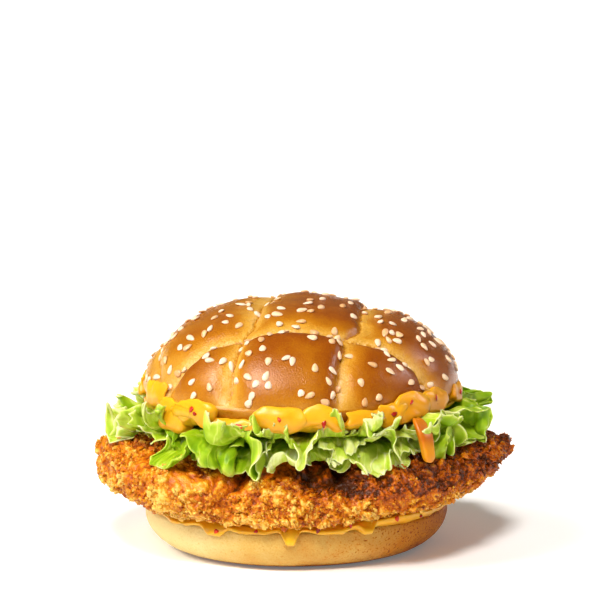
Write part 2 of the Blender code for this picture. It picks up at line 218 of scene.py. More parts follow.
class Finish:
    # a material with one Principled shader
    def __init__(self, name, settings):
        self.material = bpy.data.materials.new(name)
        self.material.use_nodes = True
        self.tree = self.material.node_tree
        self.shader = self.tree.nodes["Principled BSDF"]
        self.feed(self.shader, settings)

    def feed(self, node, values):
        # a number or colour is set on the socket, and a Wire is linked to it
        for key, value in values.items():
            if isinstance(value, Wire):
                self.tree.links.new(value.socket, node.inputs[key])
            else:
                node.inputs[key].default_value = value

    def node(self, kind, settings, values, out=0):
        # any other node: its settings first, a ramp's stops among them, then its sockets
        made = self.tree.nodes.new("ShaderNode" + kind)
        for key, value in settings.items():
            if key != "stops":
                setattr(made, key, value)
                continue
            ramp = made.color_ramp
            ramp.elements[0].position, ramp.elements[0].color = value[0]
            ramp.elements[1].position, ramp.elements[1].color = value[-1]
            for place, colour in value[1:-1]:
                ramp.elements.new(place).color = colour
        self.feed(made, values)
        return Wire(self, made.outputs[out])

    def attribute(self, name):
        return self.node("Attribute", {"attribute_name": name}, {}, "Fac")

    def place(self):
        return self.node("TexCoord", {}, {}, "Object")

    def grain(self, size, detail=2.0, place=None, kind="TexNoise"):
        # noise whose spots are about that size
        values = {"Vector": place or self.place(), "Scale": 1 / size}
        if kind == "TexNoise":
            values["Detail"] = detail
        return self.node(kind, {}, values)

    def specks(self, size, sharp):
        # small dots, one in each cell of that size: 1 - distance x sharp, and nothing further out
        return self.node("Math", {"operation": "MAXIMUM"}, {0: 1 - self.grain(size, kind="TexVoronoi") * sharp, 1: 0.0})

    def ramp(self, value, stops):
        return self.node("ValToRGB", {"stops": stops}, {"Fac": value})

    def mix(self, factor, first, second, blend="MIX"):
        settings = {"data_type": "RGBA", "blend_type": blend}
        return self.node("Mix", settings, {0: factor, 6: first, 7: second}, 2)

    def bump(self, height, distance, strength=1.0):
        self.feed(self.shader, {"Normal": self.node("Bump", {}, {
            "Height": height, "Distance": distance, "Strength": strength})})


# camera, light and floor

studio = {
    "aim": 81.7 * mm, "elevation": 10.3, "distance": 1.5, "viewWidth": 199.3 * mm,
    "lamps": (
        {"name": "key", "left": 6, "up": 52, "angle": 15, "strength": 2.95, "colour": (1.0, 0.98, 0.95), "off": "glossy"},
        {"name": "side", "left": 72, "up": 42, "angle": 32, "strength": 3.0, "colour": (1.0, 0.98, 0.94), "off": "glossy"},
        {"name": "window", "left": 44, "up": 48, "angle": 30, "strength": 4.8, "colour": (1.0, 0.98, 0.97), "off": "diffuse"},
        {"name": "right", "left": -104, "up": 31, "angle": 16, "strength": 1.1, "colour": (1.0, 0.97, 0.98), "off": "diffuse"},
        {"name": "back", "left": 175, "up": 20, "angle": 40, "strength": 0.4, "colour": (1.0, 0.97, 0.98), "off": "glossy"},
    ),
    "world": 0.18, "worldColour": (1.0, 0.82, 0.56),
    "floorHalf": 6.0, "floorColour": (0.92, 0.92, 0.92, 1.0), "floorGlow": 0.15,
    "wallRadius": 5.8, "wallHeight": 2.4, "wallSides": 64,
}


def turnTowards(thing, direction):
    thing.rotation_mode = "QUATERNION"
    thing.rotation_quaternion = Vector(direction).to_track_quat("-Z", "Y")


def addStudio(settings):
    scene = bpy.context.scene
    lift = math.radians(settings["elevation"])
    back = Vector((0, -math.cos(lift), math.sin(lift)))
    lens = bpy.data.cameras.new("camera")
    lens.sensor_width = 36
    lens.lens = lens.sensor_width * settings["distance"] / settings["viewWidth"]
    lens.clip_start, lens.clip_end = 0.05, 60
    camera = bpy.data.objects.new("camera", lens)
    camera.location = Vector((0, 0, settings["aim"])) + back * settings["distance"]
    turnTowards(camera, -back)
    for kind in settings["lamps"]:
        # a far, wide, soft light, so many degrees left of the front and above the floor
        light = bpy.data.lights.new(kind["name"], "SUN")
        light.energy, light.angle, light.color = kind["strength"], math.radians(kind["angle"]), kind["colour"]
        lamp = bpy.data.objects.new(kind["name"], light)
        left, up = math.radians(kind["left"]), math.radians(kind["up"])
        turnTowards(lamp, (math.sin(left) * math.cos(up), math.cos(left) * math.cos(up), -math.sin(up)))
        if kind["off"]:
            # lights that show in highlights alone, or nowhere else
            setattr(lamp, "visible_" + kind["off"], False)
        scene.collection.objects.link(lamp)
    half = settings["floorHalf"]
    mesh = bpy.data.meshes.new("floor")
    mesh.from_pydata([(-half, -half, 0), (half, -half, 0), (half, half, 0), (-half, half, 0)], [], [(0, 1, 2, 3)])
    finish = Finish("floor", {"Roughness": 0.9, "Base Color": settings["floorColour"],
                              "Specular IOR Level": 0.0, "Emission Color": (1, 1, 1, 1),
                              "Emission Strength": settings["floorGlow"]})
    mesh.materials.append(finish.material)
    floor = bpy.data.objects.new("floor", mesh)
    # a white wall far round the floor, which lights nothing and casts no shadow
    turn = np.arange(settings["wallSides"]) * fullTurn / settings["wallSides"]
    ring = np.stack((np.cos(turn), np.sin(turn)), -1) * settings["wallRadius"]
    points = [(*spot, height) for height in (settings["wallHeight"], 0) for spot in ring.tolist()]
    mesh = bpy.data.meshes.new("wall")
    mesh.from_pydata(points, [], gridFaces(2, settings["wallSides"], True)[:, ::-1].tolist())
    finish = Finish("wall", {"Base Color": (0, 0, 0, 1), "Specular IOR Level": 0.0,
                             "Emission Color": (1, 1, 1, 1), "Emission Strength": 1.0})
    mesh.materials.append(finish.material)
    wall = bpy.data.objects.new("wall", mesh)
    wall.visible_diffuse = wall.visible_glossy = wall.visible_shadow = False
    for thing in (camera, floor, wall):
        scene.collection.objects.link(thing)
    scene.camera = camera
    world = bpy.data.worlds.new("studio")
    world.use_nodes = True
    background = world.node_tree.nodes["Background"]
    background.inputs["Color"].default_value = (*settings["worldColour"], 1)
    background.inputs["Strength"].default_value = settings["world"]
    scene.world = world
    scene.view_settings.view_transform = "Standard"
    print("studio is ready")


addStudio(studio)

# heel of the bun

bunWaves = ((2, 0.006, 0.6), (3, 0.004, 2.0))
heel = {
    "radius": 50.5 * mm, "shift": -1.4 * mm, "height": heelHigh.z, "upperRound": 2.0 * mm,
    "lowerRound": (14 * mm, 11.4 * mm),
    "columns": 400, "swell": 0.35 * mm, "swellSize": 18 * mm, "pores": 0.07 * mm, "poreSize": 1.3 * mm,
    "bottomBand": 2.0 * mm,
}
heelStops = (
    (0.0, tone(70, 20, 2)), (0.2, tone(138, 62, 4)), (0.45, tone(188, 116, 22)),
    (0.7, tone(203, 164, 84)), (1.0, tone(230, 206, 142)),
)


def outOfRound(turn):
    # 1 plus a sine for each of the bun's waves
    return 1 + sum(share * np.sin(waves * turn + start) for waves, share, start in bunWaves)


def heelRimPoint(run, offset):
    # a way down the heel's edge, moved out from it: round the upper round, then straight down
    turn = np.minimum(run / heel["upperRound"], math.pi / 2)
    out = heel["upperRound"] + offset
    below = np.maximum(0, run - heel["upperRound"] * math.pi / 2)
    radius = heel["radius"] - heel["upperRound"] + out * np.sin(turn)
    return radius, heel["height"] - heel["upperRound"] + out * np.cos(turn) - below


def heelFinish():
    finish = Finish("bun crumb", {"Roughness": 0.6, "Specular IOR Level": 0.14, "Subsurface Weight": 0.1,
                                  "Subsurface Radius": (1.0, 0.6, 0.3), "Subsurface Scale": 2.5 * mm})
    fine = finish.grain(0.6 * mm, 3)
    pore = finish.node("Math", {"operation": "MAXIMUM"}, {0: 0.43 - finish.grain(0.8 * mm, 2), 1: 0.0})
    pore = pore * finish.attribute("porous")
    shade = finish.attribute("bake") + (fine - 0.5) * 0.2 + (finish.grain(9 * mm, 2) - 0.5) * 0.3 - pore * 2.6
    finish.feed(finish.shader, {"Base Color": finish.ramp(shade, heelStops)})
    finish.bump(fine * 0.8 - pore * 4 + finish.grain(2.6 * mm, 2) * 0.8, 0.3 * mm, 0.6)
    return finish


def addHeel():
    # the profile, cut top, upper round, side and lower round, is carried round the axis; waves push it in and out
    turn = np.arange(heel["columns"]) * fullTurn / heel["columns"]
    across, rise = heel["lowerRound"]
    inner = heel["radius"] - across
    quarter = heel["upperRound"] * math.pi / 2
    flat = np.linspace(0.05, 1, 12)[:-1] * (heel["radius"] - heel["upperRound"])
    upper = heelRimPoint(np.linspace(0, quarter, 7), 0)
    round_ = np.linspace(0, math.pi / 2, 26)
    radius = np.concatenate((
        flat, upper[0], np.full(3, heel["radius"]), inner + across * np.cos(round_), np.linspace(0.95, 0.1, 8) * inner,
    ))
    height = np.concatenate((
        np.full(11, heel["height"]), upper[1],
        np.linspace(upper[1][-1], rise, 5)[1:-1],
        rise * (1 - np.sin(round_)), np.zeros(8),
    ))
    wide = radius[:, None] * outOfRound(turn)[None, :]
    rings = np.stack(
        (wide * np.cos(turn) + heel["shift"], wide * np.sin(turn), np.broadcast_to(height[:, None], wide.shape)), -1,
    )
    side = smooth(radius, 0.8 * inner, heel["radius"])[:, None] * smooth(height, 0, 2 * mm)[:, None]
    swell = heel["swell"] * cloud(rings, heel["swellSize"], 3, 2) + heel["pores"] * cloud(rings, heel["poreSize"], 5, 2)
    rings = rings + gridNormals(rings) * ((swell - 0.2 * mm) * side)[..., None]
    # the heel's tone: a little random; darker towards the right, partly browner crust and partly painted shade; paler
    # at the left, painted light from that side
    bake = 0.66 + 0.1 * cloud(rings, 22 * mm, 9, 2) - 0.3 * smooth(rings[..., 0], 12 * mm, 52 * mm)
    bake = bake + 0.32 * (1 - smooth(rings[..., 0], -46 * mm, -4 * mm))
    # darker along the bottom edge where the heel meets the floor, more so on the right: partly browned crust and partly
    # painted contact shade
    bottomCrustAndShade = 1 - smooth(rings[..., 2], 0.1 * mm, heel["bottomBand"])
    bake = bake - bottomCrustAndShade * (0.4 + 0.6 * smooth(rings[..., 0], -50 * mm, 20 * mm))
    porous = 0.3 + 0.7 * smooth(rings[..., 0] + 12 * mm * cloud(rings, 15 * mm, 13), 0, 34 * mm)
    poles = np.array(((heel["shift"], 0, heel["height"]), (heel["shift"], 0, 0)))
    piece = addRound("bun_heel", rings, poles, heelFinish(), "bun_crumb",
                     {"bake": bake, "porous": porous})
    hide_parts("heel_bun")


addHeel()

# crown of the bun

crown = {
    "radius": 52.2 * mm, "baseRadius": 47.0 * mm, "base": crownLow.z, "widest": crownLow.z + 5.1 * mm,
    "top": crownHigh.z, "columns": 510, "domeRows": 172, "rimRows": 14, "baseRows": 4,
    "depth": 3.5 * mm, "ends": (3.1 * mm, 11.1 * mm), "topFade": 0.55, "topRadius": 26 * mm,
    "groove": 0.8 * mm, "grooveWidth": 0.6 * mm, "wander": ((12 * mm, 1.5 * mm), (3 * mm, 0.5 * mm), (1.2 * mm, 0.22 * mm)),
    "swell": 0.5 * mm, "swellSize": 24 * mm, "jog": (-31 * mm, -22 * mm), "lower": (18 * mm, 11 * mm, 1.0 * mm),
}
# each crease: its line's heading in plan, its distance from the middle, its share of the depth, how far its slope
# runs in mm on its left and right side, how far the dough shows pale there, and its jog to the right in mm
creases = (
    (81.0, 15.3 * mm, 0.9, (4.6, 3.6), (4.2, 2.6), 4.0), (84.0, -17.5 * mm, 0.8, (2.0, 6.4), (0.7, 5.0), 4.2),
    (-1.5, -29.5 * mm, 1.0, (6.6, 1.7), (4.4, 0.7), 0.0), (2.5, 25.0 * mm, 0.9, (1.7, 6.2), (0.7, 4.2), 0.0),
    (86.0, 46.5 * mm, 0.5, (3.8, 3.8), (2.4, 2.4), 0.0),
)
crownStops = (
    (0.0, tone(220, 176, 102)), (0.2, tone(202, 149, 50)), (0.4, tone(172, 106, 9)),
    (0.6, tone(141, 71, 2)), (0.8, tone(112, 45, 2)), (1.0, tone(80, 26, 2)),
)


def creaseLines(x, y):
    # for each crease, the distance from its line in plan; the lines wander a little, and some jog at the cross crease
    flat = np.stack((x, y, np.zeros_like(x)), -1)
    for number, (heading, offset, share, slopes, pales, jog) in enumerate(creases):
        turn = math.radians(heading)
        wander = sum(amount * cloud(flat, size, 20 + number) for size, amount in crown["wander"])
        away = y * math.cos(turn) - x * math.sin(turn) - offset + wander + jog * mm * smooth(y, *crown["jog"])
        yield away, share, np.where(away > 0, *slopes) * mm, np.where(away > 0, *pales) * mm


def creaseSink(x, y):
    # proud is the product of 1 - share x valley, each valley e^-(away / slope)^1.4; the depth is (1 - proud), less
    # near the top, plus a narrow groove along each line; pale is the largest of the e^-(away / pale width)^1.4,
    # and the brown edges are where a crease is near on its steep side
    proud, groove, pale, edge = np.ones_like(x), np.zeros_like(x), np.zeros_like(x), np.zeros_like(x)
    for away, share, slope, paleWidth in creaseLines(x, y):
        proud = proud * (1 - share * np.exp(-((np.abs(away) / slope) ** 1.4)))
        groove = np.maximum(groove, share * np.exp(-((away / crown["grooveWidth"]) ** 2)))
        pale = np.maximum(pale, share * np.exp(-((np.abs(away) / paleWidth) ** 1.4)))
        edge = np.maximum(edge, share * (paleWidth < 1 * mm) * np.exp(-((away / (5 * mm)) ** 2)))
    fade = 1 - crown["topFade"] * np.exp(-(x * x + y * y) / crown["topRadius"] ** 2)
    return (crown["depth"] * (1 - proud) + crown["groove"] * groove) * fade, proud, pale, groove, edge


def crownPoints(tilt, turn):
    # dome: radius R sin(tilt), height widest + rise cos(tilt), sunk along the ellipsoid's normal by the creases
    rise = crown["top"] - crown["widest"]
    out, up = np.sin(tilt), np.cos(tilt)
    radius, height = crown["radius"] * out, crown["widest"] + rise * up
    normal = unit(np.stack((out / crown["radius"], up / rise), -1))
    x, y = radius * np.cos(turn), radius * np.sin(turn)
    sink, *looks = creaseSink(x, y)
    ends = smooth(height, crown["base"] + crown["ends"][0], crown["base"] + crown["ends"][1])
    flat = np.stack((x, y, height), -1)
    swell = crown["swell"] * cloud(flat, crown["swellSize"], 31, 2) - 0.2 * mm - sink * ends
    radius = (radius + swell * normal[..., 0]) * outOfRound(turn)
    middle, width, lower = crown["lower"]
    height = height + swell * normal[..., 1] - lower * up * np.exp(-(((x - middle) / width) ** 2))
    points = np.stack((radius * np.cos(turn), radius * np.sin(turn), height), -1)
    proud, pale, groove, edge = looks
    return points, crownBrownAndShade(points, proud, pale * (0.5 + 0.5 * ends), groove * ends, edge), pale**3 * ends


def crownRimPoint(turn, offset):
    # a quarter ellipse from the widest level, turn 0, to the cut underside, turn 90 degrees, moved out
    across = crown["radius"] - crown["baseRadius"] + offset
    down = crown["widest"] - crown["base"] + offset
    return crown["baseRadius"] + across * np.cos(turn), crown["widest"] - down * np.sin(turn)


def crownBrownAndShade(points, proud, pale, groove, edge):
    # how dark the crust is: browner towards the top and the steep edges, less in the valleys and low down; darker
    # towards the right, partly the crust's own colour and partly painted shade; paler at the left, painted light; paler
    # at the very top, a painted sheen
    x, high = points[..., 0], points[..., 2] - crown["base"]
    brown = 0.46 + 0.14 * smooth(high, 6 * mm, 26 * mm) + 0.1 * cloud(points, 26 * mm, 41, 2)
    # darker towards the right, partly the crust's own colour and partly painted shade; paler at the left, painted light
    brown = brown + 0.14 * smooth(x, -10 * mm, 45 * mm) - 0.08 * (1 - smooth(x, -45 * mm, -10 * mm))
    # paler at the very top: a painted sheen
    brown = brown - 0.09 * smooth(high, 27 * mm, 33 * mm)
    brown = brown + 0.14 * edge - 0.24 * (1 - proud) - 0.26 * (1 - smooth(high, 0, 11 * mm))
    return brown * (1 - 0.9 * pale) + 0.3 * groove


def crownFinish():
    finish = Finish("bun crust", {"Specular IOR Level": 0.3, "Coat Weight": 0.04, "Coat Roughness": 0.2,
                                  "Subsurface Weight": 0.05, "Subsurface Radius": (1.0, 0.5, 0.2),
                                  "Subsurface Scale": 2 * mm})
    brown, torn = finish.attribute("brown"), finish.attribute("torn")
    speckle, crumb = finish.grain(0.5 * mm, 2), finish.grain(1.0 * mm, 3)
    shade = brown + (finish.grain(7 * mm, 3) - 0.5) * 0.24 + (speckle - 0.5) * 0.2 + (crumb - 0.45) * torn * 1.1
    finish.feed(finish.shader, {"Base Color": finish.ramp(shade, crownStops), "Roughness": 0.3 - brown * 0.1})
    finish.bump(speckle * 0.9 + finish.grain(1.6 * mm, 2) * 0.4 + crumb * torn * 2.6, 0.22 * mm, 0.8)
    return finish


def addCrown():
    turn = np.arange(crown["columns"]) * fullTurn / crown["columns"]
    tilt = np.linspace(0.01, 1, crown["domeRows"]) * math.pi / 2
    dome, brown, torn = crownPoints(*np.meshgrid(tilt, turn, indexing="ij"))
    down = np.linspace(0, math.pi / 2, crown["rimRows"] + 1)[1:]
    radius, height = crownRimPoint(down, 0)
    radius = np.concatenate((radius, np.linspace(0.97, 0.1, crown["baseRows"]) * crown["baseRadius"]))
    height = np.concatenate((height, np.full(crown["baseRows"], crown["base"])))
    wide = radius[:, None] * outOfRound(turn)[None, :]
    below = np.stack((wide * np.cos(turn), wide * np.sin(turn), np.broadcast_to(height[:, None], wide.shape)), -1)
    none = np.zeros(wide.shape)
    values = {
        "brown": np.concatenate((brown, crownBrownAndShade(below, none + 1, none, none, none))),
        "torn": np.concatenate((torn, none)),
    }
    poles = np.array(((0, 0, dome[0, :, 2].mean()), (0, 0, crown["base"])))
    piece = addRound("bun_crown", np.concatenate((dome, below)), poles, crownFinish(), "bun_crust", values)
    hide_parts("crown_bun")


addCrown()

# sesame seeds

seeds = {
    "length": 3.2 * mm, "width": 2.15 * mm, "thickness": 0.95 * mm, "clusters": 178, "spread": 2.3 * mm,
    "rows": 5, "columns": 8, "topTilt": 8, "lowTilt": 85, "uneven": 0.12, "apart": 2.2 * mm, "shake": 0.055,
}


def podShape(rows, columns, point):
    # an ellipsoid with unit half axes along x, y and z, narrower towards +x by that share; rows run along x
    turn = np.arange(columns) * fullTurn / columns
    way = (np.arange(rows) + 1) * math.pi / (rows + 1)
    ways, turns = np.meshgrid(way, turn, indexing="ij")
    wide = np.sin(ways) * (1 + point * np.cos(ways))
    rings = np.stack((-np.cos(ways), wide * np.cos(turns), wide * np.sin(turns)), -1)
    poles = np.array(((-1.0, 0, 0), (1.0, 0, 0)))
    return np.concatenate((rings.reshape(-1, 3), poles))


def podFaces(rows, columns):
    # the grid of faces runs the other way round the x axis, so its corners are turned round
    return gridFaces(rows, columns, True)[:, ::-1], fanFaces(rows, columns)[:, ::-1]


def scatter(name, shape, faces, sizes, frames, places, finish, slot, values):
    # each copy is (shape x sizes) turned by its own three axes and moved to its place; copies are one mesh
    copies, count = len(places), len(shape)
    points = np.einsum("nij,nkj->nki", frames, shape[None] * sizes[:, None, :]) + places[:, None, :]
    quads, triangles = (
        (part[None] + (np.arange(copies) * count)[:, None, None]).reshape(-1, part.shape[1]) for part in faces
    )
    full = {key: np.repeat(value, count) for key, value in values.items()}
    return addPiece(name, points.reshape(-1, 3), quads, triangles, finish, slot, full)


def framesOn(normals, spin, lean):
    # three axes for each copy: x along the surface at its spin, z along the normal with a random lean
    up = unit(normals + lean)
    side = unit(np.cross(up, np.array((0.31, 0.57, 0.76))))
    ahead = np.cross(side, up)
    along = np.cos(spin)[:, None] * side + np.sin(spin)[:, None] * ahead
    return np.stack((along, np.cross(up, along), up), -1)


def crownPlaces(tilt, turn):
    # points on the crown, and its normals from points a small step further each way
    step = 0.004
    middle = crownPoints(tilt, turn)[0]
    down = crownPoints(tilt + step, turn)[0] - middle
    across = crownPoints(tilt, turn + step)[0] - middle
    return middle, unit(np.cross(down, across))


def seedFinish():
    finish = Finish("sesame", {"Roughness": 0.42, "Subsurface Weight": 0.2, "Subsurface Radius": (1.0, 0.8, 0.5),
                               "Subsurface Scale": 0.8 * mm, "Coat Weight": 0.1})
    shade = finish.attribute("toast") + (finish.grain(0.8 * mm, 2) - 0.5) * 0.3
    stops = ((0.0, tone(240, 212, 184)), (0.5, tone(234, 198, 158)), (1.0, tone(212, 156, 96)))
    finish.feed(finish.shader, {"Base Color": finish.ramp(shade, stops)})
    return finish


def addSeeds():
    # bunches of one to three lie along a spiral of even spacing, each shaken off it, and none too near another
    random = np.random.default_rng(11)
    count = seeds["clusters"]
    inBunch = random.choice((1, 1, 2, 2, 3), count)
    low, high = (math.cos(math.radians(seeds[key])) for key in ("topTilt", "lowTilt"))
    tilt = np.arccos(low + (high - low) * (np.arange(count) + 0.5) / count) + random.normal(0, seeds["shake"], count)
    turn = np.arange(count) * fullTurn / goldenShare + random.normal(0, seeds["shake"], count) / np.sin(tilt)
    bunch = np.repeat(np.arange(count), inBunch)
    away = random.normal(0, 1, (len(bunch), 2)) * seeds["spread"] / crown["radius"]
    tilt = np.clip(tilt[bunch] + away[:, 0], 0.06, 1.5)
    turn = turn[bunch] + away[:, 1] / np.sin(tilt)
    places, normals = crownPlaces(tilt, turn)
    apart = np.linalg.norm(places[:, None] - places[None], axis=-1) + 9 * np.tri(len(places)).T
    kept = apart.min(axis=1) > seeds["apart"]
    places, normals = places[kept], normals[kept]
    count = len(places)
    half = np.array((seeds["length"], seeds["width"], seeds["thickness"])) / 2
    sizes = half * (1 + seeds["uneven"] * random.normal(0, 1, (count, 3)).clip(-2, 2))
    frames = framesOn(normals, random.random(count) * fullTurn, random.normal(0, 0.14, (count, 3)))
    places = places + normals * (0.28 * seeds["thickness"])
    shape = podShape(seeds["rows"], seeds["columns"], -0.34)
    faces = podFaces(seeds["rows"], seeds["columns"])
    scatter("sesame_seeds", shape, faces, sizes, frames, places, seedFinish(), "sesame_seed",
            {"toast": random.random(count) ** 1.6})


addSeeds()

# breaded fillet

fillet = {
    "halfLength": 67.2 * mm, "halfDepth": 55.2 * mm, "rest": 16.1 * mm, "edge": 24.8 * mm, "top": 40.6 * mm,
    "planPower": 2.3, "topPower": 2.4, "underPower": 4.8,
    "lumps": ((5, 1.1 * mm, 0.8), (8, 0.9 * mm, 2.1)), "tip": (2, 11, 1.0 * mm),
    "leftLift": (18 * mm, 50 * mm, 3.8 * mm, 1.3), "rightLift": (35 * mm, 35 * mm, 9 * mm, 2),
    "thinning": (0.65, 54 * mm, 72 * mm), "underThinning": (0.34, 36 * mm, 64 * mm), "droop": 2.2 * mm,
    "rises": ((2 * mm, 30 * mm, 5.4 * mm), (20 * mm, 42 * mm, 2.8 * mm)), "leftBlunt": 3.2, "leftThinner": 0.15,
    "humps": ((-64 * mm, -8 * mm, 9 * mm, 4.5 * mm), (56 * mm, -6 * mm, 9 * mm, 3.5 * mm)),
    "columns": 800, "rows": 120, "mostPoints": 400, "inner": 40 * mm, "innerShare": 0.22,
    "hollows": ((277, 8, 32 * mm), (286, 4, 34 * mm), (247, 4, 33 * mm), (60, 7, 32 * mm), (128, 5, 31 * mm)),
    "hollowHigh": 5 * mm, "hollowDeep": 3.0 * mm, "bare": (12 * mm, 0.32, 0.55),
}
# the breading's knobs: size, height, share of the shade and number of each kind
breading = ((10.5 * mm, 1.8 * mm, 0.08, 51), (5.2 * mm, 2.3 * mm, 0.22, 57), (2.6 * mm, 1.4 * mm, 0.24, 63),
            (1.5 * mm, 0.7 * mm, 0.3, 69))
filletStops = (
    (0.0, tone(80, 34, 3)), (0.22, tone(139, 58, 2)), (0.42, tone(178, 85, 4)),
    (0.62, tone(199, 112, 8)), (0.82, tone(214, 146, 28)), (1.0, tone(236, 188, 88)),
)


def filletReach(turn):
    # a squared oval, (|cos / a|^p + |sin / b|^p)^(-1 / p), with sines for its lumps and a bell for its tip
    power = fillet["planPower"]
    oval = np.abs(np.cos(turn) / fillet["halfLength"]) ** power + np.abs(np.sin(turn) / fillet["halfDepth"]) ** power
    lumps = sum(height * np.sin(waves * turn + start) for waves, height, start in fillet["lumps"])
    middle, width, length = fillet["tip"]
    return oval ** (-1 / power) + lumps + length * bell(np.degrees(turn), middle, width)


def filletLift(x):
    # each end rises as a power of its distance past a start
    total = 0
    for away, (start, run, height, power) in ((-x, fillet["leftLift"]), (x, fillet["rightLift"])):
        total = total + height * np.maximum(0, (away - start) / run) ** power
    return total


def filletHalf(x, y):
    # thickness above the edge, thinner towards the right tip, plus a bell for each hump
    share, start, end = fillet["thinning"]
    half = (fillet["top"] - fillet["edge"]) * (1 - share * smooth(x, start, end))
    for middleX, middleY, radius, height in fillet["humps"]:
        half = half + height * np.exp(-((x - middleX) ** 2 + (y - middleY) ** 2) / radius**2)
    return half


def filletSurface(tilt, turn):
    # radius reach x sin(tilt)^(2 / p), height edge + lift + half x cos(tilt)^(2 / p), blunter below the edge
    above = tilt < math.pi / 2
    leftTip = smooth(-np.cos(turn), 0.8, 0.97)
    power = np.where(above, fillet["topPower"], fillet["underPower"] + fillet["leftBlunt"] * leftTip)
    out = np.abs(np.sin(tilt)) ** (2 / power)
    up = np.sign(np.cos(tilt)) * np.abs(np.cos(tilt)) ** (2 / power)
    radius = filletReach(turn) * out
    x, y = radius * np.cos(turn), radius * np.sin(turn)
    share, start, end = fillet["underThinning"]
    under = 1 - share * smooth(x, start, end) - fillet["leftThinner"] * leftTip
    half = np.where(above, filletHalf(x, y), (fillet["edge"] - fillet["rest"]) * under)
    height = fillet["edge"] + filletLift(x) + half * up
    (rightStart, rightEnd, rightRise), (leftStart, leftEnd, leftRise) = fillet["rises"]
    right, left = smooth(x, rightStart, rightEnd), smooth(-x, leftStart, leftEnd)
    droop = fillet["droop"] * (1 - right) * (1 - left)
    height = height - droop * np.sin(turn) ** 2 * smooth(radius, 40 * mm, 56 * mm)
    outside = smooth(radius, heel["radius"] + 1 * mm, heel["radius"] + 5 * mm)
    rising = (rightRise * right + leftRise * left) * smooth(radius, heel["radius"] - 2 * mm, heel["radius"] + 1 * mm)
    height = np.maximum(height, fillet["rest"] - droop * outside + rising)
    return np.stack((x, y, height), -1)


def filletTop(radius, turn):
    # the height of the fillet's upper surface at a place, and nothing outside its outline
    share = np.clip(radius / filletReach(turn), 0, 1)
    rise = (1 - share ** fillet["topPower"]) ** (1 / fillet["topPower"])
    x, y = radius * np.cos(turn), radius * np.sin(turn)
    return np.where(share < 1, fillet["edge"] + filletLift(x) + filletHalf(x, y) * rise, 0)


def breadingFinish():
    finish = Finish("breading", {"Roughness": 0.36, "Specular IOR Level": 0.22, "Coat Weight": 0.06, "Coat Roughness": 0.12,
                                 "Subsurface Weight": 0.08, "Subsurface Radius": (1.0, 0.45, 0.15),
                                 "Subsurface Scale": 1.2 * mm})
    bumps = finish.grain(1.25 * mm, kind="TexVoronoi")
    grains = finish.grain(0.6 * mm, kind="TexVoronoi")
    fine = finish.grain(0.7 * mm, 3)
    crumby = finish.attribute("crumby")
    shade = finish.attribute("tip") + (fine - 0.5) * 0.3 + (finish.grain(5 * mm, 2) - 0.5) * 0.3
    # darker towards each Voronoi cell's edge: partly orange-red crust, partly painted shade in the crevices between
    # beads
    shade = shade + (0.5 - bumps) * crumby * 0.46 + (0.5 - grains) * 0.12 - finish.specks(4.2 * mm, 15) * 0.7
    finish.feed(finish.shader, {"Base Color": finish.ramp(shade, filletStops)})
    finish.bump(fine * 0.35 - bumps * crumby * 1.2 - grains * 0.4, 0.45 * mm, 0.9)
    return finish


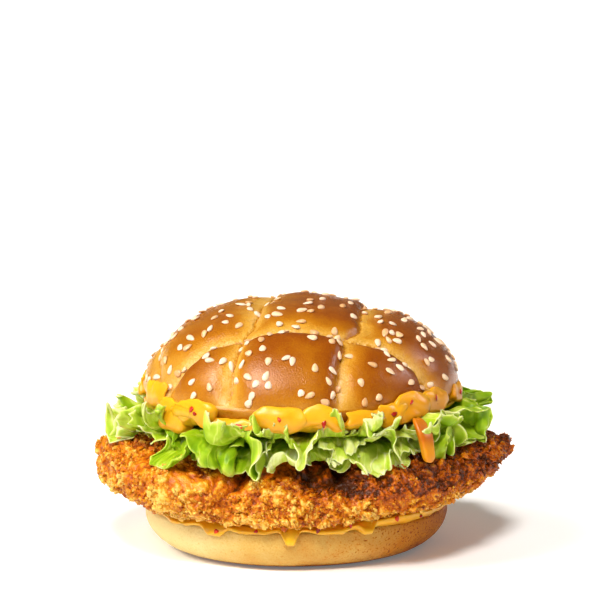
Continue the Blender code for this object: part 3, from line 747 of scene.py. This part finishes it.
def addFillet():
    # rows are spaced by the length of a mean section, closely outside the inner radius and widely inside it;
    # each kind of knob pushes the surface out along its normal
    fine = np.linspace(0.002, 0.998, fillet["mostPoints"]) * math.pi
    section = filletSurface(fine, np.full(fine.shape, 4.4))
    reach = np.hypot(section[:, 0], section[:, 1])
    length = np.linalg.norm(np.diff(section, axis=0), axis=-1)
    length = length * np.where((reach[1:] + reach[:-1]) / 2 > fillet["inner"], 1, fillet["innerShare"])
    way = np.concatenate(([0], np.cumsum(length)))
    tilt = np.interp(np.linspace(0, way[-1], fillet["rows"]), way, fine)
    turn = np.arange(fillet["columns"]) * fullTurn / fillet["columns"]
    rings = filletSurface(*np.meshgrid(tilt, turn, indexing="ij"))
    normals = gridNormals(rings)
    radius = np.hypot(rings[..., 0], rings[..., 1])
    under = smooth(-normals[..., 2], 0.3, 0.8)
    rough = smooth(radius, 34 * mm, 42 * mm) * (1 - under * (1 - smooth(radius, 51 * mm, 55 * mm)))
    bent = rings + 1.6 * mm * np.stack([cloud(rings, 7 * mm, 80 + axis, 2) for axis in range(3)], -1)
    size, low, high = fillet["bare"]
    bare = smooth(cloud(rings, size, 87, 2), low, high) * smooth(rings[..., 2], 26 * mm, 30 * mm)
    clustered = (0.75 + 0.45 * cloud(rings, 13 * mm, 97, 2)) * (1 - 0.6 * bare)
    push = 0
    tip = 0
    # each kind of knob also lightens the tone on its top and darkens it in the creases between: partly the breading's
    # own colour, partly painted crease shade
    for size, height, share, seed in breading:
        knob, own = knobs(bent, size, seed)
        push = push + height * clustered * (knob * (0.5 + own) - 0.6)
        tip = tip + share * (1.7 * knob * (0.6 + 0.8 * own) - 1.0)
    way = np.degrees(np.arctan2(rings[..., 1], rings[..., 0]) + 0.05 * cloud(rings, 5 * mm, 93, 2))
    hollow = sum(
        bell(way, middle, width) * np.exp(-(((rings[..., 2] - height) / fillet["hollowHigh"]) ** 2))
        for middle, width, height in fillet["hollows"]
    )
    push = push + 0.8 * mm * cloud(rings, 16 * mm, 91, 2) - fillet["hollowDeep"] * hollow - 0.5 * mm
    x, z = rings[..., 0], rings[..., 2]
    # darker towards the right, partly browner breading and partly painted shade; lighter low down on the right
    tip = 0.54 + 0.9 * tip + 0.12 * cloud(rings, 14 * mm, 95, 2) - 0.5 * smooth(x, -20 * mm, 44 * mm)
    tip = tip - 0.02 * smooth(x, 46 * mm, 60 * mm) + 0.44 * smooth(x, 4 * mm, 24 * mm) * (1 - smooth(z, 24 * mm, 29 * mm))
    tip = tip + 0.06 * smooth(x, -50 * mm, -30 * mm) * (1 - smooth(x, 0, 20 * mm)) - 0.03
    # darker in the hollows, partly bare breading and partly painted shade; darker high up under the lettuce: painted
    # shade
    tip = tip - 0.4 * hollow - 0.12 * bare - 0.2 * smooth(z - 0.2 * np.abs(x), 26 * mm, 34 * mm)
    rings = rings + normals * (push * rough)[..., None]
    poles = np.array(((0, 0, rings[0, :, 2].mean()), (0, 0, rings[-1, :, 2].mean())))
    finish = breadingFinish()
    crumby = (1 - 0.85 * bare) * (1 - 0.5 * np.minimum(1, hollow))
    piece = addRound("breaded_fillet", rings, poles, finish, "breading", {"tip": tip, "crumby": crumby})
    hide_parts("chicken_fillet")
    return rings, gridNormals(rings), tip * rough, rough * crumby, finish


filletSkin = addFillet()

# crumbs on the breading: how many, half size range, rows and columns of each kind

crumbs = {
    "crumbs_large": {"count": 1300, "low": 0.45 * mm, "high": 1.15 * mm, "rows": 4, "columns": 8, "seed": 3,
                     "flat": 0.85, "sunk": 0.2, "pale": 0.02},
    "crumbs_small": {"count": 8500, "low": 0.2 * mm, "high": 0.5 * mm, "rows": 2, "columns": 5, "seed": 4,
                     "flat": 1.0, "sunk": 0.35, "pale": 0.1},
    "crumbs_flakes": {"count": 150, "low": 0.8 * mm, "high": 2.0 * mm, "rows": 5, "columns": 6, "seed": 5,
                      "flat": 0.3, "sunk": 0.2, "pale": 0.3},
}


def addCrumbs(name, kind, skin):
    # crumbs sit half sunk at random points of the breading, more of them outside the bun
    rings, normals, tip, rough, finish = skin
    random = np.random.default_rng(kind["seed"])
    radius = np.hypot(rings[..., 0], rings[..., 1])
    likely = smooth(radius, 44 * mm, 52 * mm) * smooth(rough, 0.3, 0.9) * (rings[..., 2] > 15 * mm)
    if "flakes" in name:
        # crisp flakes cling to the lower edge, mostly on the right
        likely = likely * (0.05 + smooth(rings[..., 0], -12 * mm, 16 * mm)) * (1 - smooth(rings[..., 2], 19 * mm, 25 * mm))
    likely = likely.ravel()
    chosen = random.choice(len(likely), kind["count"], replace=False, p=likely / likely.sum())
    size = kind["low"] + (kind["high"] - kind["low"]) * random.random(kind["count"]) ** 2.2
    sizes = size[:, None] * random.uniform(0.6, 1.35, (kind["count"], 3)) * np.array((1, 1, kind["flat"]))
    places, ups = rings.reshape(-1, 3)[chosen], normals.reshape(-1, 3)[chosen]
    places = places + ups * (size * kind["sunk"] * kind["flat"])[:, None]
    frames = framesOn(ups, random.random(kind["count"]) * fullTurn, random.normal(0, 0.6, (kind["count"], 3)))
    shape = podShape(kind["rows"], kind["columns"], 0.3)
    shape = shape * (1 + 0.22 * random.normal(0, 1, (len(shape), 1)))
    shade = tip.ravel()[chosen] + random.normal(kind["pale"], 0.12, kind["count"])
    scatter(name, shape, podFaces(kind["rows"], kind["columns"]), sizes, frames, places, finish, "breading",
            {"tip": shade, "crumby": np.ones(kind["count"])})


for crumbName, crumbKind in crumbs.items():
    addCrumbs(crumbName, crumbKind, filletSkin)

# sauce: a film that squeezes out round the edge in lobes, each its angle, half width in degrees and reach

sauce = {
    "leastLobe": 0.2, "columns": 620, "rows": 40,
    "lowerLobes": (
        (222, 8, 0.26), (239, 5, 0.46), (254, 10, 0.26), (268, 3.0, 0.66), (283, 9, 0.26), (297, 3.4, 0.34),
        (12, 9, 0.4), (58, 7, 0.7), (96, 11, 0.4), (131, 6, 0.8), (165, 9, 0.35),
    ),
    "upperLobes": (
        (199, 9, 0.8), (226, 12, 1.0), (260, 9, 0.95), (277, 8, 0.8), (293, 8, 0.75), (314, 12, 1.0),
        (352, 10, 0.6), (28, 9, 0.8), (64, 12, 0.9), (101, 9, 0.7), (134, 10, 0.95), (166, 9, 0.6),
    ),
    "lowerFilm": (14.95 * mm, 15.8 * mm), "lowerLip": 0.85 * mm, "lowerRun": 9 * mm, "fuller": (312, 24, 2.4),
    "upperFilm": (46.8 * mm, 49.1 * mm), "upperLip": (0.9 * mm, 2.2 * mm), "upperGap": 0.85 * mm,
    "upperTurn": 80, "blocky": 3.8, "dollopRows": 30, "dollopColumns": 44,
    "uneven": ((6 * mm, 1.0 * mm), (2.6 * mm, 0.5 * mm)),
}
# the upper sauce's dollops: heading and half width in degrees, lower and upper height, and reach past the bun in mm
dollops = (
    (205, 8, 50.5, 58.8, 1.5), (217, 9, 44.0, 55.0, 2.6), (230, 8.5, 47.4, 56.4, 2.9), (246, 9, 47.6, 51.2, 2.2),
    (262.5, 9, 47.6, 56.0, 2.7), (277, 7.5, 48.6, 56.2, 2.4), (294, 8, 49.6, 54.4, 2.0), (305, 6, 47.8, 55.6, 2.7),
    (314, 8, 49.0, 57.8, 2.8), (326, 8, 48.5, 58.2, 2.6), (352, 8, 48.8, 55.5, 2.6), (14, 7, 48.6, 55.6, 3.0),
    (28, 9, 47.2, 56.8, 4.0), (62, 12, 47.0, 57.0, 4.4), (78, 6, 48.8, 55.0, 2.8), (101, 9, 48.2, 56.4, 3.6),
    (132, 11, 47.0, 57.2, 4.4), (150, 6, 49.0, 55.0, 2.6), (167, 9, 48.4, 56.4, 3.2),
)
# drips of the upper sauce: heading, half width, lower and upper height, and radius at the bottom and top in mm
drips = ((312.0, 2.6, 37.0, 50.5, 63.2, 58.0), (68, 2.3, 38.0, 51.0, 59.0, 55.5), (140, 1.9, 41.5, 50.0, 58.0, 55.5))
sauceStops = ((0.0, tone(178, 84, 2)), (0.45, tone(214, 140, 6)), (1.0, tone(232, 176, 26)))


def lobeReach(angle, lobes):
    # the cube root of the sum of the cubed lobes, so that neighbours join smoothly; a lobe is a bell with a blunt end
    total = sum((height * np.minimum(1, 1.25 * bell(angle, middle, width))) ** 3 for middle, width, height in lobes)
    return np.minimum(1, (sauce["leastLobe"] ** 3 + total) ** (1 / 3))


def sauceFinish():
    finish = Finish("sauce", {"Roughness": 0.34, "Specular IOR Level": 0.4,
                              "Subsurface Weight": 0.25, "Subsurface Radius": (1.0, 0.6, 0.15),
                              "Subsurface Scale": 2.2 * mm})
    # the value read as thick is a tone, not a thickness: darker low on the dollops and towards the lips' ends, with
    # painted shade towards the right and on each drip's upper part
    shade = finish.attribute("thick") + (finish.grain(4 * mm, 2) - 0.5) * 0.35 - finish.specks(5 * mm, 16) * 0.8
    finish.feed(finish.shader, {"Base Color": finish.ramp(shade, sauceStops)})
    finish.bump(finish.grain(1.7 * mm, 2), 0.15 * mm, 0.35)
    return finish


sauceSkin = sauceFinish()


def roundPart(rings, poles, values):
    # points, faces and values of a closed round form; a pole takes its row's mean value
    full = {key: np.concatenate((value.ravel(), [value[0].mean(), value[-1].mean()])) for key, value in values.items()}
    rows, columns = rings.shape[:2]
    return np.concatenate((rings.reshape(-1, 3), poles)), gridFaces(rows, columns, True), fanFaces(rows, columns), full


def joined(parts):
    # several parts as one: their points in a row, and their faces' numbers moved on to match
    starts = np.cumsum([0] + [len(part[0]) for part in parts])
    points, quads, triangles = (
        np.concatenate([part[kind] + (start if kind else 0) for part, start in zip(parts, starts)]) for kind in range(3)
    )
    return points, quads, triangles, {key: np.concatenate([part[3][key] for part in parts]) for key in parts[0][3]}


def filmPart(section, seed, shift):
    # section(angle, share) gives radius and height of a closed loop at shares 0 to 1 from the top of the axis
    # round the lip to the bottom of the axis
    turn = np.arange(sauce["columns"]) * fullTurn / sauce["columns"]
    share = np.linspace(0, 1, sauce["rows"])
    radius, height, thick = section(np.degrees(turn)[None, :], share[:, None])
    wide = radius * outOfRound(turn)[None, :]
    rings = np.stack((wide * np.cos(turn) + shift, wide * np.sin(turn), height), -1)
    lip = smooth(radius, heel["radius"] - 4 * mm, heel["radius"])
    rings = rings + gridNormals(rings) * (lip * 0.22 * mm * cloud(rings, 3.5 * mm, seed, 2))[..., None]
    poles = np.array(((shift, 0, height[0].mean()), (shift, 0, height[-1].mean())))
    return roundPart(rings, poles, {"thick": thick + 0 * radius})


def crownSide(height):
    # the crown's radius at a height: its dome above the widest level, its rim below, and further in below the rim
    rise = (height - crown["widest"]) / (crown["top"] - crown["widest"])
    fall = np.clip((crown["widest"] - height) / (crown["widest"] - crown["base"]), 0, 1)
    rim = crown["baseRadius"] + (crown["radius"] - crown["baseRadius"]) * np.sqrt(1 - fall**2)
    dome = crown["radius"] * np.sqrt(np.clip(1 - np.clip(rise, 0, 1) ** 2, 0, 1))
    return np.where(rise > 0, dome, rim)


def blockyBall(power):
    # a ball's directions, each divided by (|x|^p + |y|^p + |z|^p)^(1 / p), which squares the ball up
    tilt = (np.arange(sauce["dollopRows"]) + 0.5) * math.pi / sauce["dollopRows"]
    turn = np.arange(sauce["dollopColumns"]) * fullTurn / sauce["dollopColumns"]
    tilts, turns = np.meshgrid(tilt, turn, indexing="ij")
    ball = np.stack((np.sin(tilts) * np.cos(turns), np.sin(tilts) * np.sin(turns), np.cos(tilts)), -1)
    ball = np.concatenate((ball.reshape(-1, 3), ((0, 0, 1), (0, 0, -1))))
    return ball / np.sum(np.abs(ball) ** power, axis=-1, keepdims=True) ** (1 / power)


def blobPart(heading, half, low, high, inner, outer, seed, power, rough):
    # the blocky ball's x runs round the bun, its z from low to high and its y from the inner to the outer radius
    ball = blockyBall(power)
    height = low + (high - low) * (ball[:, 2] + 1) / 2
    height = height + rough * (high - low) * 0.08 * np.cos(math.pi * ball[:, 0]) * np.sin(seed * 1.9) * (1 + ball[:, 1])
    turn = np.radians(heading - half * ball[:, 0] * (1 + 0.12 * np.sin(3 * ball[:, 2] + seed)))
    near, far = inner(height), outer(height)
    radius = near + (far - near) * (ball[:, 1] + 1) / 2
    points = np.stack((radius * np.cos(turn), radius * np.sin(turn), height), -1)
    for size, amount in sauce["uneven"]:
        points = points + rough * amount * np.stack([cloud(points, size, seed + axis) for axis in range(3)], -1)
    rows, columns = sauce["dollopRows"], sauce["dollopColumns"]
    # a tone, not a thickness: lighter high on the dollop, darker low down, and darker towards the right, partly a
    # deeper colour and partly painted shade
    thick = 0.6 + 0.26 * (ball[:, 2] + 1) / 2 - 0.28 * smooth(points[:, 0], 4 * mm, 50 * mm)
    return points, gridFaces(rows, columns, True), fanFaces(rows, columns), {"thick": thick}


def dollopPart(heading, half, low, high, reach, seed):
    low, high, reach = low * mm, high * mm, reach * mm

    def outer(height):
        # a slab that stands out less towards its upper edge
        share = np.clip((height - low) / (high - low), 0, 1)
        return crown["radius"] + reach * (1 - 0.65 * share**2)

    return blobPart(heading, half, low, high, lambda height: crownSide(height) - 0.4 * mm, outer, seed,
                    sauce["blocky"], 1)


def dripPart(heading, half, low, high, bottom, top, seed):
    def outer(height):
        # from the bottom radius to the top one, mostly near the top, and bellied out at its end
        share = np.clip((height / mm - low) / (high - low), 0, 1)
        return (bottom + (top - bottom) * share**3) * mm + 0.9 * mm * np.exp(-((share / 0.25) ** 2))

    wide = math.degrees(half / bottom)
    blob = blobPart(heading, wide, low * mm, high * mm, lambda height: outer(height) - 3 * mm, outer, seed, 4, 0.2)
    # darker above the drip's end: painted shade
    blob[3]["thick"] = blob[3]["thick"] - 0.45 * smooth(blob[0][:, 2], (low + 4) * mm, (low + 8) * mm)
    return blob


def addSauce(name, node, parts):
    piece = addPiece(name, *joined(parts)[:3], sauceSkin, "sauce", joined(parts)[3])
    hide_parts(node)


def lowerSection(angle, share):
    # out over the cut top on the outer side of the film, down the heel's edge as far as the lobe runs,
    # round the end and back on the inner side
    run = sauce["lowerRun"] * lobeReach(angle, sauce["lowerLobes"])
    low, high = sauce["lowerFilm"]
    gap = low - heel["height"]
    go = np.clip(share / 0.5, 0, 1)
    back = np.clip((1 - share) / 0.5, 0, 1)
    outer = share < 0.5
    way = np.where(outer, go, back)
    down = run * np.clip((way - 0.2) / 0.8, 0, 1)
    fuller = 1 + sauce["fuller"][2] * bell(angle, *sauce["fuller"][:2])
    lip = sauce["lowerLip"] * np.sqrt(np.clip(1 - ((way - 0.2) / 0.8) ** 6, 0, 1)) * (1 + 0.5 * smooth(way, 0.6, 0.9)) * fuller
    radius, height = heelRimPoint(down, gap + np.where(outer, lip, 0))
    inside = np.clip(way / 0.2, 0, 1)
    top = np.where(outer, high, low)
    start = heel["radius"] - heel["upperRound"]
    return (
        np.where(way < 0.2, 3 * mm + (start - 3 * mm) * inside, radius),
        np.where(way < 0.2, top + 0 * angle, height), 1.0 - 0.25 * smooth(way, 0.8, 1.0),
    )


def upperSection(angle, share):
    # the same under the crown: along the crown's rim on the inner side, round a fat lip and back underneath
    reach = lobeReach(angle, sauce["upperLobes"])
    low, high = sauce["upperFilm"]
    thin, thick = sauce["upperLip"]
    lip = thin + (thick - thin) * reach
    inner = share < 0.42
    way = np.where(inner, share / 0.42, np.clip((1 - share) / 0.58, 0, 1))
    along = np.clip((way - 0.15) / 0.85, 0, 1)
    end = 90 - sauce["upperTurn"] * reach
    turn = np.radians(90 + (end - 90) * along)
    fat = lip * np.where(inner, 0, np.sqrt(np.clip(1 - along**5, 0, 1)))
    radius, height = crownRimPoint(turn, sauce["upperGap"] + fat)
    inside = np.clip(way / 0.15, 0, 1)
    flat = way < 0.15
    start = crown["baseRadius"]
    return (
        np.where(flat, 3 * mm + (start - 3 * mm) * inside, radius),
        np.where(flat, np.where(inner, high, low + (height - low) * 0), height),
        0.85 - 0.3 * smooth(along, 0.7, 1.0),
    )


blobs = [dollopPart(*row, 300 + number) for number, row in enumerate(dollops)]
blobs += [dripPart(*row, 340 + number) for number, row in enumerate(drips)]
lowerFilm, upperFilm = filmPart(lowerSection, 71, heel["shift"]), filmPart(upperSection, 75, 0)
addSauce("sauce_lower", "lower_sauce", [lowerFilm])
addSauce("sauce_upper", "upper_sauce", [upperFilm] + blobs)

# chili flakes: heading in degrees and height in mm of those that lie on the sauce

chili = {
    "length": 1.2 * mm, "width": 0.85 * mm, "thickness": 0.3 * mm, "rows": 3, "columns": 6, "near": 1.0 * mm,
    "places": (
        (229.6, 53.2), (231.6, 52.0), (263, 52.6), (312, 55.4), (249, 49.6), (325, 55.0), (278, 51.0), (304, 52.4),
        (239, 13.6), (276.5, 15.2), (288.7, 16.4), (308, 16.6), (254, 14.6), (321, 15.6),
        (64, 53.5), (60, 51.0), (101, 53.0), (133, 52.0), (168, 53.0), (29, 52.5), (351, 52.4),
        (58, 12.6), (97, 14.0), (132, 12.2), (13, 14.0),
    ),
}


def chiliFinish():
    finish = Finish("chili", {"Roughness": 0.3, "Specular IOR Level": 0.4})
    stops = ((0.0, tone(120, 8, 4)), (0.5, tone(188, 24, 6)), (1.0, tone(214, 66, 12)))
    finish.feed(finish.shader, {"Base Color": finish.ramp(finish.attribute("red") + finish.grain(0.6 * mm) - 0.5, stops)})
    return finish


def addChili(points):
    # each flake lies on the outermost of the sauce's points near its place
    random = np.random.default_rng(21)
    heading, height = np.array(chili["places"]).T
    turn, height = np.radians(heading), height * mm
    radius = np.hypot(points[:, 0], points[:, 1])
    spots = np.stack((np.cos(turn), np.sin(turn)), -1)
    across = np.linalg.norm(points[None, :, :2] - radius[None, :, None] * spots[:, None], axis=-1)
    near = (across < chili["near"]) & (np.abs(points[None, :, 2] - height[:, None]) < chili["near"])
    reach = np.where(near, radius, 0).max(axis=1) + 0.1 * mm
    found = reach > crown["baseRadius"]
    ups = np.column_stack((spots, np.full(len(turn), 0.25)))[found]
    places = np.column_stack((reach[:, None] * spots, height))[found]
    count = len(places)
    half = np.array((chili["length"], chili["width"], chili["thickness"]))
    sizes = half * random.uniform(0.6, 1.25, (count, 3))
    frames = framesOn(ups, random.random(count) * fullTurn, random.normal(0, 0.2, (count, 3)))
    shape = podShape(chili["rows"], chili["columns"], 0.3)
    shape = shape * (1 + 0.2 * random.normal(0, 1, (len(shape), 1)))
    scatter("chili_flakes", shape, podFaces(chili["rows"], chili["columns"]), sizes, frames, places, chiliFinish(),
            "chili_flake", {"red": random.random(count)})


addChili(joined([lowerFilm, upperFilm] + blobs)[0])

# lettuce: each leaf is a bunch of lobes that start near the middle and end in frills outside the bun

# each lobe: its heading and width in degrees, the height it leaves the bun at in mm, its slope outside the fold
# in degrees, its length in mm, its number of frills and the turn of its outer edge in degrees
leaves = {
    "lettuce_lower_left": (
        (146, 36, 41.0, -50, 15, 1.7, 40), (172, 30, 41.4, -34, 16, 1.3, -30), (190, 30, 41.4, -24, 21, 1.6, 20),
        (212, 26, 41.0, -50, 15, 1.2, 70), (231, 26, 41.2, -54, 10.5, 1.4, -30), (247, 20, 40.8, -50, 10, 0.9, 40),
    ),
    "lettuce_lower_right": (
        (263, 22, 41.0, -52, 14, 1.2, 50), (280, 22, 41.4, -58, 9.5, 1.2, -20), (294, 26, 41.2, -56, 13.5, 1.4, 30),
        (311, 24, 41.0, -60, 14, 1.2, -40), (330, 28, 41.0, -46, 15, 1.4, 50), (352, 28, 41.0, -34, 15, 1.4, 20),
    ),
    "lettuce_lower_back": (
        (14, 28, 41.0, -40, 16, 1.4, 40), (36, 30, 41.2, -52, 16, 1.5, -30), (60, 30, 41.0, -56, 16, 1.6, 50),
        (84, 26, 41.2, -58, 15, 1.3, 20), (104, 28, 41.0, -54, 16, 1.5, -30), (126, 28, 41.2, -52, 15, 1.4, 50),
    ),
    "lettuce_upper_front": (
        (184, 32, 44.2, -24, 22, 2.6, 15), (213, 11, 45.2, 14, 26, 1.0, 90), (204, 26, 44.4, -12, 20, 1.7, 20),
        (222, 20, 44.4, -34, 15, 1.1, 90), (238, 22, 45.2, 12, 16, 1.2, -40), (248, 24, 44.8, -34, 14.5, 1.3, 30),
        (264, 20, 44.6, -40, 13.5, 1.0, 60), (275, 16, 45.0, -8, 14, 1.0, 40), (285, 16, 44.6, -30, 13, 1.0, -30),
        (242, 17, 45.2, 22, 19, 1.2, 60), (256, 12, 45.2, 8, 18, 1.0, 70), (284, 11, 45.2, 26, 19, 1.0, 60),
    ),
    "lettuce_upper_right": (
        (297, 20, 45.2, 16, 16, 1.2, 60), (304, 22, 44.8, -30, 16, 1.3, 30), (315, 16, 45.2, 10, 15, 1.0, -50),
        (326, 22, 44.8, -20, 17, 1.3, 40), (341, 24, 44.6, -12, 19, 1.3, 30), (350, 34, 45.0, 12, 22, 1.7, -20),
        (12, 28, 44.8, 2, 17, 1.6, 40), (36, 28, 44.8, -22, 16, 1.5, 40), (298, 12, 45.4, 4, 20, 1.0, 80),
        (315, 11, 45.4, 18, 25, 1.0, 80), (328, 18, 45.2, 8, 17, 1.1, 50),
    ),
    "lettuce_upper_back": (
        (56, 22, 45.0, 8, 15, 1.3, -30), (76, 26, 44.8, -22, 16, 1.4, 50), (96, 24, 45.0, 10, 15, 1.3, 30),
        (114, 26, 44.8, -26, 16, 1.4, -40), (134, 26, 44.6, -18, 15, 1.4, 40), (158, 28, 44.8, 0, 16, 1.5, 30),
    ),
}
leaf = {
    "heart": 5 * mm, "fold": 45 * mm, "rows": 38, "innerRows": 4, "stepsPerFrill": 76, "swing": 1.35, "second": 0.75,
    "third": 0.4, "thickness": 0.38 * mm, "tooth": 2.0 * mm, "lobe": 0.22, "notch": 0.34, "narrow": 0.5,
    "crumple": ((12 * mm, 2.0 * mm), (4.5 * mm, 0.8 * mm)), "folds": ((5.5 * mm, 1.1 * mm), (2.4 * mm, 0.4 * mm)), 
    "mostReach": (58.5 * mm, 7.0 * mm), "highest": (57.5 * mm, 9.0 * mm, 45 * mm, 58 * mm),
    "rim": (49.5 * mm, 56 * mm), "underBun": 45.8 * mm,
}
leafStops = (
    (0.0, tone(72, 112, 1)), (0.3, tone(114, 150, 4)), (0.55, tone(150, 180, 22)),
    (0.8, tone(186, 203, 78)), (1.0, tone(214, 224, 152)),
)


def lettuceFinish():
    finish = Finish("lettuce", {"Roughness": 0.4, "Specular IOR Level": 0.3, "Subsurface Weight": 0.4,
                                "Subsurface Radius": (0.7, 1.0, 0.25), "Subsurface Scale": 2 * mm})
    around, outwards = finish.attribute("around"), finish.attribute("outwards")
    fibre = finish.grain(1.6, 3, finish.node("CombineXYZ", {}, {0: around, 1: outwards * 0.3, 2: 0.0}))
    branch = finish.grain(3.2, 2, finish.node("CombineXYZ", {}, {0: around, 1: outwards * 0.35, 2: 7.0}))
    vein = finish.node("Math", {"operation": "ABSOLUTE"}, {0: branch - 0.5})
    vein = finish.node("Math", {"operation": "MAXIMUM"}, {0: 1 - vein * 14, 1: 0.0})
    shade = finish.attribute("leafTone") + (fibre - 0.5) * 0.3 + (finish.grain(5 * mm, 2) - 0.5) * 0.5 + vein * 0.22
    finish.feed(finish.shader, {"Base Color": finish.ramp(shade, leafStops)})
    finish.bump(fibre * 0.6 + vein * 0.5 + finish.grain(1.8 * mm, 2) * 0.8, 0.35 * mm, 0.6)
    return finish


def running(values):
    # sums from the left, starting at nothing
    return np.concatenate((np.zeros((values.shape[0], 1)), np.cumsum(values, axis=1)), axis=1)


def wavesAlong(way, seed, count):
    # smooth random numbers along a leaf, about that many waves from end to end
    line = np.stack((way * count, np.full(way.shape, seed * 1.7), np.full(way.shape, 0.5)), -1)
    return cloud(line, 1.0, seed, 2)


def lobeSheet(heading, width, level, pitch, length, frills, curl, seed):
    # Each row is a meander: its heading swings as swing x cos(phase), wider towards the rim, plus quicker and
    # smaller swings near the rim. Running sums of the heading's cosine and sine give the way round and the
    # frill's height. The frill stands off a section that leaves the fold level, bends to its slope and curls at
    # the rim. The lobe is shorter at both sides, (1 - narrow |2 way - 1|^2.5), and crumpled by random shifts.
    columns = int(frills * leaf["stepsPerFrill"])
    way = (np.arange(columns) + 0.5) / columns
    edges = np.arange(columns + 1) / columns
    outer = np.linspace(0, 1, leaf["rows"] - leaf["innerRows"] + 1)[1:]
    share = np.concatenate((np.linspace(-1, 0, leaf["innerRows"]), outer))[:, None]
    positive = np.clip(share, 0, 1)
    phase = fullTurn * frills * (way + 0.08 * wavesAlong(way, seed, 3)) + seed * 2.4
    fade = np.minimum(1, np.minimum(way, 1 - way) / 0.06)
    strong = 0.9 + 0.4 * wavesAlong(way, seed + 1, 4)
    swing = (0.12 + leaf["swing"] * positive**1.1) * strong * np.cos(phase + 1.2 * positive * wavesAlong(way, seed + 2, 3))
    swing = swing + leaf["second"] * positive**2.2 * np.cos(2.3 * phase + 1.3 + 2 * wavesAlong(way, seed + 3, 5))
    swing = swing + leaf["third"] * positive**5 * np.cos(5.1 * phase + 3 * wavesAlong(way, seed + 4, 6))
    swing = swing * fade
    along, across = running(np.cos(swing)), running(np.sin(swing))
    whole = along[:, -1:]
    across = across - across[:, -1:] * along / whole
    angle = heading + width * (along / whole - 0.5)
    side = np.abs(2 * edges - 1)
    notch = np.clip(1 - 3 * np.abs(wavesAlong(edges, seed + 9, 1.6 * frills)), 0, 1) ** 1.5
    own = (1 - leaf["narrow"] * side**2.5) * (1 + leaf["lobe"] * wavesAlong(edges, seed + 5, 1.5 * frills))
    own = length * mm * own * (1 - leaf["notch"] * notch)
    teeth = leaf["tooth"] * (0.5 - np.abs(wavesAlong(edges, seed + 8, 7 * frills)) * 1.6)
    reach = own * positive + teeth[None, :] * positive**8
    slope = pitch + 18 * wavesAlong(edges, seed + 6, 1.2 * frills)[None, :]
    bend = curl * (1 + 0.8 * wavesAlong(edges, seed + 7, 1.8 * frills)[None, :])
    slope = np.radians(slope * smooth(positive, 0, 0.5) + bend * positive**3)
    stepOut = np.diff(reach, axis=0, prepend=reach[:1])
    radius = leaf["fold"] + np.cumsum(stepOut * np.cos(slope), axis=0)
    height = level * mm + np.cumsum(stepOut * np.sin(slope), axis=0)
    radius = np.where(share < 0, leaf["heart"] + (leaf["fold"] - leaf["heart"]) * (1 + share), radius)
    arc = math.radians(width) * np.maximum(radius.mean(axis=1, keepdims=True), leaf["heart"]) / whole
    off = across * arc
    radius = radius - off * np.sin(slope)
    height = height + off * np.cos(slope)
    turn = np.radians(angle)
    points = np.stack((radius * np.cos(turn), radius * np.sin(turn), height), -1)
    for size, amount in leaf["crumple"]:
        shift = np.stack([cloud(points, size, seed + 20 + axis) for axis in range(3)], -1)
        points = points + amount * shift * smooth(positive, 0.05, 0.6)[..., None]
    normals = unit(np.cross(np.gradient(points, axis=0), np.gradient(points, axis=1)))
    flat = np.stack((along * arc, reach * 0.45, 0 * along + seed * mm), -1)
    for size, amount in leaf["folds"]:
        ridge = 1 - 2.5 * np.abs(cloud(flat, size, seed + 30))
        points = points + normals * (amount * ridge * smooth(positive, 0.1, 0.5))[..., None]
    radius, turn, height = np.hypot(points[..., 0], points[..., 1]), np.arctan2(points[..., 1], points[..., 0]), points[..., 2]
    least, more = leaf["mostReach"]
    radius = -keepAbove(-radius, -(least + more * np.cos(turn) ** 2), 0.8 * mm)
    height = keepAbove(height, filletTop(radius, turn) + 1.0 * mm, 0.6 * mm)
    outside = smooth(radius, *leaf["rim"])
    top, fall, start, end = leaf["highest"]
    limit = leaf["underBun"] * (1 - outside) + (top - fall * smooth(np.abs(points[..., 0]), start, end)) * outside
    height = -keepAbove(-height, -limit, 0.5 * mm)
    points = np.stack((radius * np.cos(turn), radius * np.sin(turn), height), -1)
    # the leaf's tone: paler at the rim, the leaf's own pale edge, and darker towards the fold under the bun, partly
    # painted shade; lighter at the far left, in the middle and right and up high, a little darker just left of the
    # middle and darker at the far right low down: painted light and shade; lighter along the small folds' ridges, and
    # random along the leaf
    shade = 0.4 + 0.32 * smooth(positive, 0.94, 1.0) + 0.1 * smooth(positive, 0.2, 0.9)
    x, high = points[..., 0], smooth(points[..., 2], 47 * mm, 52 * mm)
    shade = shade + 0.18 * (1 - smooth(x, -60 * mm, -44 * mm)) + 0.2 * smooth(x, -20 * mm, 0)
    shade = shade - 0.08 * smooth(x, -46 * mm, -38 * mm) * (1 - smooth(x, -24 * mm, -16 * mm))
    shade = shade - 0.3 * smooth(x, 36 * mm, 50 * mm) * (1 - 0.7 * high) + 0.08 * high
    shade = shade + 0.1 * ridge + 0.16 * wavesAlong(edges, seed + 40, 1.0)[None, :]
    return points, {"around": along * arc / mm, "outwards": own / mm * positive, "leafTone": shade}


lettuceSkin = lettuceFinish()


def addLeaf(name, lobes, seed):
    # the lobes of one leaf, one after another in a mesh
    points, faces, values, count = [], [], [], 0
    for number, lobe in enumerate(lobes):
        grid, value = lobeSheet(*lobe, seed + 10 * number)
        faces.append(gridFaces(*grid.shape[:2], False) + count)
        count += grid.shape[0] * grid.shape[1]
        points.append(grid.reshape(-1, 3))
        values.append(value)
    full = {key: np.concatenate([value[key].ravel() for value in values]) for key in values[0]}
    piece = addPiece(name.replace("lettuce", "leaf"), np.concatenate(points), np.concatenate(faces),
                     np.zeros((0, 3), int), lettuceSkin, "lettuce", full)
    wall = piece.modifiers.new("thickness", "SOLIDIFY")
    wall.thickness = leaf["thickness"]
    wall.offset = 0
    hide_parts(name)


for leafNumber, (leafName, leafLobes) in enumerate(leaves.items()):
    addLeaf(leafName, leafLobes, 100 + 100 * leafNumber)
